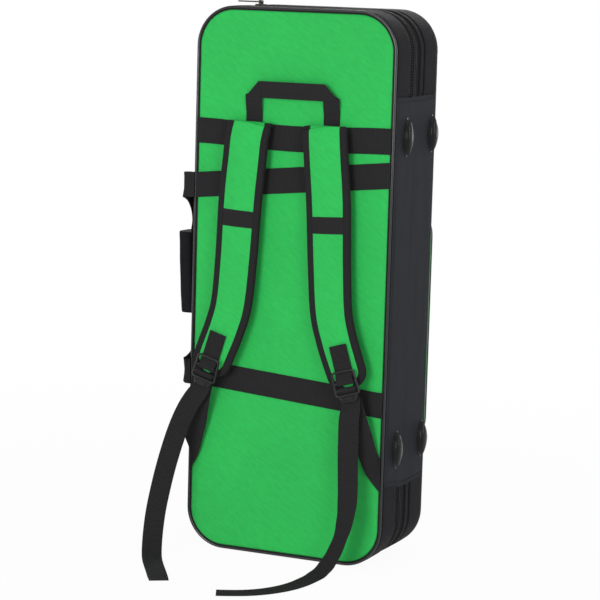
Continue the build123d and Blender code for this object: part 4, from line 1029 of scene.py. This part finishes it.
# Free tails of the straps: routes in metres, with the direction of the width at each point
TAILS = {
    "left": (
        ((-0.12089, -0.06456, 0.26752), (0.9563, 0, -0.2924)),
        ((-0.12615, -0.06456, 0.25031), (0.9563, 0, -0.2924)),
        ((-0.137, -0.071, 0.234), (0.86, 0.2, -0.42)),
        ((-0.147, -0.076, 0.214), (0.8, 0.32, -0.45)),
        ((-0.156, -0.083, 0.186), (0.85, 0.36, -0.3)),
        ((-0.162, -0.091, 0.157), (0.88, 0.38, -0.2)),
        ((-0.167, -0.099, 0.127), (0.9, 0.4, -0.1)),
        ((-0.170, -0.108, 0.097), (0.91, 0.42, -0.05)),
        ((-0.172, -0.117, 0.067), (0.91, 0.42, 0)),
        ((-0.172, -0.124, 0.040), (0.9, 0.44, 0)),
        ((-0.170, -0.131, 0.019), (0.88, 0.48, 0)),
        ((-0.164, -0.143, 0.005), (0.86, 0.52, 0)),
        ((-0.153, -0.161, 0.0012), (0.85, 0.53, 0)),
        ((-0.137, -0.186, 0.0011), (0.85, 0.53, 0)),
        ((-0.118, -0.215, 0.0011), (0.85, 0.53, 0)),
        ((-0.095, -0.251, 0.0011), (0.85, 0.53, 0)),
    ),
    "right": (
        ((0.11389, -0.06456, 0.26752), (0.9563, 0, 0.2924)),
        ((0.11915, -0.06456, 0.25031), (0.9563, 0, 0.2924)),
        ((0.117, -0.070, 0.231), (0.96, 0.2, 0.1)),
        ((0.117, -0.069, 0.203), (0.93, 0.36, 0)),
        ((0.118, -0.071, 0.173), (0.93, 0.36, -0.05)),
        ((0.120, -0.073, 0.142), (0.95, 0.26, -0.08)),
        ((0.122, -0.076, 0.111), (0.97, 0.1, -0.05)),
        ((0.121, -0.080, 0.081), (0.96, -0.2, 0.1)),
        ((0.116, -0.085, 0.053), (0.9, -0.4, 0.2)),
        ((0.108, -0.092, 0.028), (0.92, -0.3, 0.2)),
        ((0.099, -0.103, 0.009), (0.97, -0.15, 0.12)),
        ((0.093, -0.121, 0.0016), (1, 0.05, 0.02)),
        ((0.091, -0.144, 0.0011), (1, 0.02, 0)),
        ((0.089, -0.169, 0.0011), (0.98, -0.14, 0)),
        ((0.082, -0.196, 0.0011), (0.93, -0.36, 0)),
        ((0.069, -0.222, 0.0011), (0.84, -0.54, 0)),
        ((0.051, -0.244, 0.0011), (0.7, -0.71, 0)),
        ((0.028, -0.260, 0.0011), (0.5, -0.86, 0)),
        ((0.006, -0.270, 0.0011), (0.4, -0.91, 0)),
    ),
}
HEM_LENGTH = 0.014


def strap_tail(side, body):
    """Flat webbing along its route, doubled over at its end."""
    rows = TAILS[side]
    curve = bpy.data.curves.new(f"{side}_route", "CURVE")
    curve.dimensions = "3D"
    line = curve.splines.new("NURBS")
    line.points.add(len(rows) - 1)
    for point, row in zip(line.points, rows):
        point.co = (*row[0], 1)
    line.order_u = 3
    line.use_endpoint_u = True
    curve.resolution_u = 10
    holder = bpy.data.objects.new(f"{side}_route", curve)
    read = bpy.data.meshes.new_from_object(holder)
    path = [vert.co.copy() for vert in read.vertices]
    bpy.data.objects.remove(holder)
    bpy.data.meshes.remove(read)
    bpy.data.curves.remove(curve)

    def shares_of(points):
        lengths = walked(points)
        return [length / lengths[-1] for length in lengths], lengths[-1]

    marks, _ = shares_of([Vector(row[0]) for row in rows])
    shares, length = shares_of(path)
    widths = []
    for share in shares:
        n = 0
        while n < len(marks) - 2 and marks[n + 1] < share:
            n += 1
        f = smooth_step((share - marks[n]) / (marks[n + 1] - marks[n]))
        widths.append(Vector(rows[n][1]).lerp(Vector(rows[n + 1][1]), f))
    stations = frames_along([p / MM for p in path], widths)
    sections = []
    for share in shares:
        hem = smooth_step((share * length - length + HEM_LENGTH) / 0.001) * 0.45
        sections.append(flat_section(TAIL_WIDTH - 2 * hem, WEB_T * 0.8 + hem))
    web = piece(f"{side}_tail_web", swept(stations, sections), WEB, body, [f"{side}_strap_tail"])
    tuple(path[0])


# Anchors: the part of the case's side seam that each takes up, and shares of the way from the
# lock to that seam, sideways, inwards and down, for the inner edge and then the outer one
ANCHORS = {
    "left": (29, (
        (0, 0, 0, 0, 0, 0), (0.15, 0.25, 0.2, 0.5, 0.07, 0.24),
        (0.3, 0.54, 0.4, 0.96, 0.2, 0.47), (0.48, 0.7, 0.61, 1.4, 0.45, 0.68),
        (0.68, 0.84, 0.82, 1.45, 0.72, 0.84), (1, 1, 1, 1, 1, 1),
    )),
    "right": (49, (
        (0, 0, 0, 0, 0, 0), (0.14, 0.18, 0.2, 0.29, 0.27, 0.3),
        (0.28, 0.38, 0.41, 0.6, 0.58, 0.6), (0.43, 0.56, 0.62, 0.82, 0.8, 0.84),
        (0.64, 0.8, 0.82, 0.95, 0.93, 0.94), (1, 1, 1, 1, 1, 1),
    )),
}
ANCHOR_STEPS = 70
SEAM_X = 154.7
SEAM_LOW = 119


def strap_anchor(side):
    """Webbing from behind the lock down to the side seam, turning until it lies along it."""
    sign = -1 if side == "left" else 1
    seam, rows = ANCHORS[side]
    origin, across, up = lock_frame(side)
    lock_end = origin - up * 46 + OUTWARD * -3.3
    edges = []
    for inner, z, first in ((1, SEAM_LOW, 0), (-1, SEAM_LOW + seam, 3)):
        corner = lock_end - across * (sign * inner * TAIL_WIDTH / 2)
        run = Vector((sign * SEAM_X, FACE_Y - 1.1, z)) - corner
        edge = [corner + up * 9]
        for row in rows:
            shares = row[first:first + 3]
            edge.append(corner + Vector([run[i] * shares[i] for i in range(3)]))
        edge.append(edge[-1] + Vector((sign * 0.9, 1.0, 0)))
        edges.append(edge)
    last = len(edges[0]) - 1
    steps = range(ANCHOR_STEPS + 1)
    pairs = [[curve_at(edge, last * k / ANCHOR_STEPS) for edge in edges] for k in steps]
    stations, sections = [], []
    for n, (inner, outer) in enumerate(pairs):
        after, before = pairs[min(n + 1, ANCHOR_STEPS)], pairs[max(n - 1, 0)]
        along = (after[0] + after[1] - before[0] - before[1]).normalized()
        width = outer - inner
        normal = width.cross(along).normalized()
        if normal.y > 0:
            normal = -normal
        stations.append(((inner + outer) / 2, width.normalized(), normal))
        sections.append(flat_section(width.length, 1.4, cup=0.5 * sin(pi * n / ANCHOR_STEPS)))
    web = piece(f"{side}_anchor_web", swept(stations, sections), WEB, None,
                [f"{side}_strap_anchor"])
    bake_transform(web)


for side, top_x in (("left", -64), ("right", 57)):
    strap_tail(side, f"{side}_lock")
    strap = Strap(top_x)
    strap_pad(side, strap)
    strap_binding(side, strap)
    strap_keeper(side, strap)
    buckle_tab(side, f"{side}_strap")
    ladder_lock(side, f"{side}_lock")
    strap_anchor(side)

# Carry handles: shares of the reach at the upper and lower end, of the way to the grip, of the
# fall to its end and of the quarter turn of the width
BACK_LOOP_SHARES = (
    (-0.05, -0.05, 0, 0, 0), (0.3, 0.2, 0, 0, 0), (0.6, 0.34, 0.06, 0.02, 0.03),
    (0.56, 0.26, 0.25, 0.07, 0.15), (0.53, 0.18, 0.5, 0.2, 0.42), (0.55, 0.2, 0.78, 0.44, 0.75),
    (0.62, 0.38, 0.96, 0.72, 0.95), (0.71, 0.51, 1.0, 0.92, 1.0), (0.71, 0.51, 1.0, 1.04, 1.0),
)
LID_LOOP_SHARES = (
    (0.05, 0.05, 0, 0, 0), (0.08, 0.08, 0.25, 0.02, 0.05), (0.22, 0.17, 0.45, 0.09, 0.2),
    (0.43, 0.31, 0.68, 0.25, 0.5), (0.59, 0.42, 0.86, 0.5, 0.78), (0.68, 0.48, 0.97, 0.76, 0.95),
    (0.71, 0.51, 1.0, 0.92, 1.0), (0.71, 0.51, 1.0, 1.04, 1.0),
)
GRIP_REACH = 28
GRIP_X = -HALF_WIDTH - GRIP_REACH
GRIP_Z = 413
GRIP_LENGTH = 124
GRIP_HALF = (19.6, 11.4)
# (height of an end's seam, rise of its end in the grip over the grip's middle)
LOOP_ENDS = ((552, 62), (268, -62))


def carry_loop(name, root_y, grip_y, loop_shares, body):
    """Two ends of webbing, from the side seam into the grip, turning a quarter on the way."""
    loops = []
    for end, (edge_z, rise) in enumerate(LOOP_ENDS):
        points, widths = [], []
        toward = 1 if (grip_y > root_y) == (rise > 0) else -1
        for *reaches, way, fall, lean in loop_shares:
            y, z = root_y + (grip_y - root_y) * way, edge_z + (GRIP_Z + rise - edge_z) * fall
            points.append(Vector((-HALF_WIDTH - GRIP_REACH * reaches[end], y, z)))
            widths.append(Vector((0, toward * sin(pi / 2 * lean), cos(pi / 2 * lean))))
        points, places = dense(points, 3)
        turned = []
        for t in places:
            n = min(int(t), len(widths) - 2)
            turned.append(widths[n].lerp(widths[n + 1], t - n))
        frames = frames_along(points, turned)
        loops.append(swept(frames, [flat_section(WIDE_WEB, WEB_T)] * len(points)))
    joined(f"{name}_loop_web", loops, WEB, body, [f"{name}_carry_loop"])


def grip_point(turn, t, plump, seed, z):
    """Point of the grip's section: a soft oblong with a crease and a lapped flap."""
    a, b = (
        copysign(abs(share) ** power, share) * half * plump
        for share, power, half in zip((cos(turn), sin(turn)), (0.62, 0.6), GRIP_HALF)
    )
    if a > 12:
        a -= 1.7 * bell(b - mix(-1, 9, t), 1.5) * sin(pi * min(1.0, t * 1.1))
    slack = 0.5 * rough_at(a * 1.3, b * 1.3 + seed, z / 2, 13)
    flap = 1.1 * smooth_step((a - 4) / 1.2) if b > 2 else 0
    return a, b + (flap + slack)


def carry_grip(name, root_y, grip_y, body, rows=60, columns=56):
    stations, sections = [], []
    near = Vector((0, -1 if name == "back" else 1, 0))
    for k in range(rows + 1):
        t = k / rows
        end = min(t, 1 - t) * GRIP_LENGTH
        plump = 1 - 0.05 * exp(-end / 2.0) + 0.05 * exp(-t * GRIP_LENGTH / 9)
        lean = 6 * (0.5 - t) + sin(pi * t)
        centre = Vector((GRIP_X - lean, grip_y, GRIP_Z + GRIP_LENGTH * (0.5 - t)))
        stations.append((centre, near, Vector((-1, 0, 0))))
        sections.append([
            grip_point(2 * pi * n / columns, t, plump, root_y, centre.z) for n in range(columns)
        ])
    bm = swept(stations, sections)
    grip = piece(f"{name}_grip_wrap", bm, BLACK, body, [f"{name}_carry_grip"], sharp=45)


for name, root_y, grip_y, loop_shares in (
    ("back", BACK_Y - 1.1, ZIP_Y - 21.5, BACK_LOOP_SHARES),
    ("lid", LID_Y - 4.5, ZIP_Y + 21.5, LID_LOOP_SHARES),
):
    carry_loop(name, root_y, grip_y, loop_shares, f"{name}_carry_handle")
    carry_grip(name, root_y, grip_y, f"{name}_carry_handle")


# Feet
FOOT_WIDE = 30
FOOT_LONG = 60
FOOT_HEIGHTS = (174, 638)
# (share of the outline, height): the sewn rim, a groove and the domed middle
FOOT_PROFILE = [(1.0, -0.4), (1.0, 0.9), (0.985, 1.35), (0.95, 1.5), (0.9, 1.5), (0.885, 1.9)]
FOOT_PROFILE += [
    (0.88 * cos(radians(t)), 2.2 + 7.8 * sin(radians(t))) for t in range(8, 90, 8)
] + [(0.02, 10.0)]


def foot_mesh(foot_y, foot_z, count=56):
    """Almond outline from two arcs, domed."""
    radius = (FOOT_LONG**2 + FOOT_WIDE**2) / (4 * FOOT_WIDE)
    shift = radius - FOOT_WIDE / 2

    def place(column, row):
        turn = 2 * pi * (column % count) / count
        scale, height = FOOT_PROFILE[row]
        r = (-shift * abs(cos(turn)) + sqrt(radius**2 - (shift * sin(turn)) ** 2)) * scale
        return (HALF_WIDTH + height, foot_y + r * cos(turn), foot_z + r * sin(turn)), (r, turn * 10)

    return grid(count, len(FOOT_PROFILE) - 1, place, merged=True, capped=True)


for name, foot_y, body in (
    ("back_feet", BACK_Y + 48.5, "back_half"), ("lid_feet", LID_Y - 16.5, "lid_half"),
):
    feet = [foot_mesh(foot_y, z) for z in FOOT_HEIGHTS]
    joined(f"{name}_mouldings", feet, RUBBER, body, [name], sharp=40)

# Front pocket
POCKET_HALF_X = 155
POCKET_LOW = 150
POCKET_HIGH = 530
POCKET_MID = (POCKET_LOW + POCKET_HIGH) / 2
POCKET_HALF_Z = (POCKET_HIGH - POCKET_LOW) / 2
POCKET_CORNER = 50
POCKET_GRID = (96, 110)
WALL_SHARE = 0.9
EDGE_CORNERS = ((1, 0), (1, 1), (0, 1), (-1, 1), (-1, 0), (-1, -1), (0, -1), (1, -1), (1, 0))
COIL_STEPS = 340
COIL_HALF_X = 103
COIL_PROFILE = (
    (7.5, 0.25), (5.1, 0.4), (4.9, 0.5), (4.2, 0.7), (2.6, 1.0), (1.2, 0.7), (0.85, -1.5),
)


def pocket_place(column, row):
    """Crowned front over walls that stand on the lid's cover."""
    u, v = crowded(column, row, POCKET_GRID)
    far = max(abs(u), abs(v))
    wall = max(0.0, (far - WALL_SHARE) / (1 - WALL_SHARE))
    scale = 1 / max(far, WALL_SHARE)
    x, z, edge = rounded(u * scale, v * scale, POCKET_HALF_X, POCKET_HALF_Z, POCKET_CORNER)
    crown = 9 * (1 - exp(-edge / 32)) + 0.7 * rough_at(x, 2, z, 60) * risen(edge, 20)
    y = LID_Y + (16 + crown - 2.2 * tucked(edge, 4) if wall == 0 else mix(13.8, -0.2, wall))
    return (x, y, z + POCKET_MID), (x, z + (y if wall else 0))


piece("pocket_cloth", grid(*POCKET_GRID, pocket_place), GREEN, "lid_half", ["front_pocket"])


def pocket_cord(name, inset, y, radius, count=240):
    """Cord round the pocket's edge, inset from it."""
    points = []
    for k in range(count):
        t = 8 * k / count
        n, f = int(t), t - int(t)
        u, v = (mix(EDGE_CORNERS[n][i], EDGE_CORNERS[n + 1][i], f) for i in (0, 1))
        x, z, _ = rounded(u, v, POCKET_HALF_X - inset, POCKET_HALF_Z - inset, POCKET_CORNER - inset)
        points.append(Vector((x, y, z + POCKET_MID)))
    stations = []
    for n, point in enumerate(points):
        along = (points[(n + 1) % count] - points[n - 1]).normalized()
        out = Vector((0, 1, 0))
        stations.append((point, along.cross(out), out))
    bm = swept(stations, [circle(radius, 10)] * count, looped=True)
    piece(name, bm, PIPE, "lid_half")


pocket_cord("pocket_piping", 0.6, LID_Y + 14.6, 1.9)
pocket_cord("pocket_seam_cord", -0.6, LID_Y + 0.9, 1.2)


def pocket_zip(side):
    def place(column, row):
        x = mix(-COIL_HALF_X, COIL_HALF_X, row / COIL_STEPS)
        off, rise = COIL_PROFILE[column]
        lift = rise + (0.45 * abs(sin(pi * x / 2.4)) if rise > 0.6 else 0)
        return (x, LID_Y + 6.8 + side * off * 0.8, POCKET_HIGH - 0.3 + lift), (off, x)
    return grid(len(COIL_PROFILE) - 1, COIL_STEPS, place)


joined("pocket_coil", [pocket_zip(-1), pocket_zip(1)], COIL, "lid_half", ["pocket_zip_chain"])


# Inside: lips, walls, floors, padding blocks and the accessory box
INSIDE_STEPS = 12


def lip_section(mouth_y, inward):
    turns = [pi * k / INSIDE_STEPS for k in range(INSIDE_STEPS + 1)]
    points = [(mouth_y + inward * 4 * (1 - sin(t)), 13.6 - 7.6 * cos(t)) for t in turns]
    return lambda s: points


def wall_section(mouth_y, floor_y):
    shares = [k / INSIDE_STEPS for k in range(INSIDE_STEPS + 1)]
    points = [(mix(mouth_y, floor_y, t), 21.2 - 0.4 * sin(pi * t)) for t in shares]
    return lambda s: points


def floor_depth(floor_y, inward):
    return lambda x, z, edge: floor_y - inward * 3.5 * tucked(edge, 8)


for half, mouth_y, floor_y, inward, nodes in (
    ("back_half", 36.5, -20.0, -1, ["back_shell", "back_lining"]),
    ("lid_half", 38.5, 110.0, 1, ["lid_shell", "lid_lining"]),
):
    short = half.split("_")[0]
    ring(f"{short}_lip_plush", lip_section(mouth_y, inward), PILE, half, nodes[:1])
    ring(f"{short}_wall_plush", wall_section(mouth_y + inward * 3.4, floor_y), PILE, half,
         nodes[1:])
    panel(f"{short}_floor_plush", 21.0, floor_depth(floor_y, inward), PILE, half, size=(40, 80))


def soft_copy(node, finish, material, body, width, segments):
    """A copy of a CAD node with its edges rounded over."""
    bm = bmesh.new()
    bm.from_mesh(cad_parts[node].data)
    bmesh.ops.remove_doubles(bm, verts=bm.verts, dist=1e-6)
    bmesh.ops.dissolve_limit(bm, angle_limit=radians(2), verts=bm.verts, edges=bm.edges)
    hard = [e for e in bm.edges if len(e.link_faces) == 2 and e.calc_face_angle(0) > radians(35)]
    bmesh.ops.bevel(bm, geom=hard, offset=width * MM, offset_type="OFFSET", segments=segments,
                    profile=0.5, affect="EDGES", clamp_overlap=True, material=-1)
    bmesh.ops.triangulate(bm, faces=[f for f in bm.faces if len(f.verts) > 4])
    piece(f"{node}_{finish}", bm, material, body, [node], sharp=60)


soft_copy("bow_cradle", "plush", PILE, "back_half", 3, 3)
soft_copy("bell_cradle", "plush", PILE, "back_half", 3, 3)
soft_copy("neck_rest", "plush", PILE, "back_half", 2, 3)
soft_copy("accessory_box", "board", BOARD, "back_half", 1.2, 2)
soft_copy("accessory_lid", "plush", PILE, "accessory_box_lid", 0.8, 2)

PAD_GRID = (60, 110)
PAD_HALF_X = 108
PAD_HALF_Z = 276
PAD_CORNER = 50
PAD_RISE = 15.5
PAD_FLOOR_Y = 109.6
PAD_SEAMS = (-138, 0, 138)


def pad_place(column, row):
    """Crowned pad with one quilting seam down it and three across."""
    x, z, edge = rounded(*crowded(column, row, PAD_GRID), PAD_HALF_X, PAD_HALF_Z, PAD_CORNER)
    rise = PAD_RISE * (1 - exp(-edge / 14)) * (1 - 0.12 * bell(x, 10))
    for seam in PAD_SEAMS:
        rise *= 1 - 0.3 * bell(z - seam, 7)
    rise += 0.5 * rough_at(x, 4, z, 40) * risen(edge, 20)
    return (x, PAD_FLOOR_Y - rise, z + HEIGHT / 2), (x, z)


lid_pad = piece("lid_pad_plush", grid(*PAD_GRID, pad_place), PILE, "lid_half", ["lid_pad"])

# CAD nodes that stay get a finished material
for node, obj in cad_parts.items():
    if obj.hide_render:
        continue
    material = STEEL if "slider" in node else PLASTIC
    if obj.data.materials:
        for n in range(len(obj.data.materials)):
            obj.data.materials[n] = material
    else:
        obj.data.materials.append(material)

# Floor, light and world, in metres
FLOOR_DROP = 0.0006
NEAR_GLOW = (0.5, 0.95)
FAR_GLOW = (2.0, 1.0)

bm = bmesh.new()
bmesh.ops.create_grid(bm, x_segments=1, y_segments=1, size=8)
floor_mesh = bpy.data.meshes.new("floor")
bm.to_mesh(floor_mesh)
bm.free()
floor = bpy.data.objects.new("floor", floor_mesh)
floor.location.z = -FLOOR_DROP
bpy.context.collection.objects.link(floor)
pale = Tree(bpy.data.materials.new("pale_floor"))
floor_mesh.materials.append(pale.dress({
    "Base Color": (0.95, 0.95, 0.95, 1), "Roughness": 0.9, "Specular IOR Level": 0.0,
}))
away = pale.nodes.new("ShaderNodeVectorMath")
away.operation = "LENGTH"
pale.links.new(pale.nodes.new("ShaderNodeTexCoord").outputs["Object"], away.inputs[0])
reach = pale.nodes.new("ShaderNodeMapRange")
(near, near_share), (far, far_share) = NEAR_GLOW, FAR_GLOW
pale.feed(reach.inputs, (away.outputs["Value"], near, far, near_share, far_share))
seen = pale.maths("MULTIPLY", reach.outputs[0], pale.direct_rays())
pale.mixed("ShaderNodeEmission", 1.0, seen, pale.nodes["Principled BSDF"].outputs[0],
           "Material Output")

sky = Tree(bpy.data.worlds.new("world"))
bpy.context.scene.world = sky.owner
soft_sky = sky.nodes["Background"]
sky.feed(soft_sky.inputs, ((1, 1, 1, 1), 0.3))
sky.mixed("ShaderNodeBackground", 1.0, sky.direct_rays(), soft_sky.outputs[0], "World Output")


def area_light(name, place, target, size, power):
    data = bpy.data.lights.new(name, "AREA")
    data.shape = "RECTANGLE"
    data.size, data.size_y = size
    data.energy = power
    light = bpy.data.objects.new(name, data)
    light.location = place
    aim = Vector(target) - Vector(place)
    light.rotation_euler = aim.to_track_quat("-Z", "Y").to_euler()
    bpy.context.collection.objects.link(light)


area_light("key", (-0.3, -3.4, 1.0), (0, 0, 0.35), (1.3, 1.3), 57)
area_light("fill", (2.6, -2.4, 1.2), (0.1, 0, 0.4), (1.2, 2.0), 24)
area_light("side", (3.0, 0.8, 1.3), (0.1, 0.03, 0.4), (0.35, 1.8), 8)
area_light("rear", (1.7, 2.9, 1.1), (0.1, 0.05, 0.4), (0.5, 1.8), 13)
area_light("top", (0.2, -0.4, 3.2), (0, 0, 0.6), (2.0, 1.6), 7)
area_light("zip_side", (-3.2, 1.4, 1.3), (0, 0.05, 0.4), (1.2, 1.8), 16)
area_light("lid_side", (-0.7, 3.5, 1.4), (0, 0.1, 0.4), (1.4, 1.8), 38)

bpy.context.scene.view_settings.view_transform = "Standard"
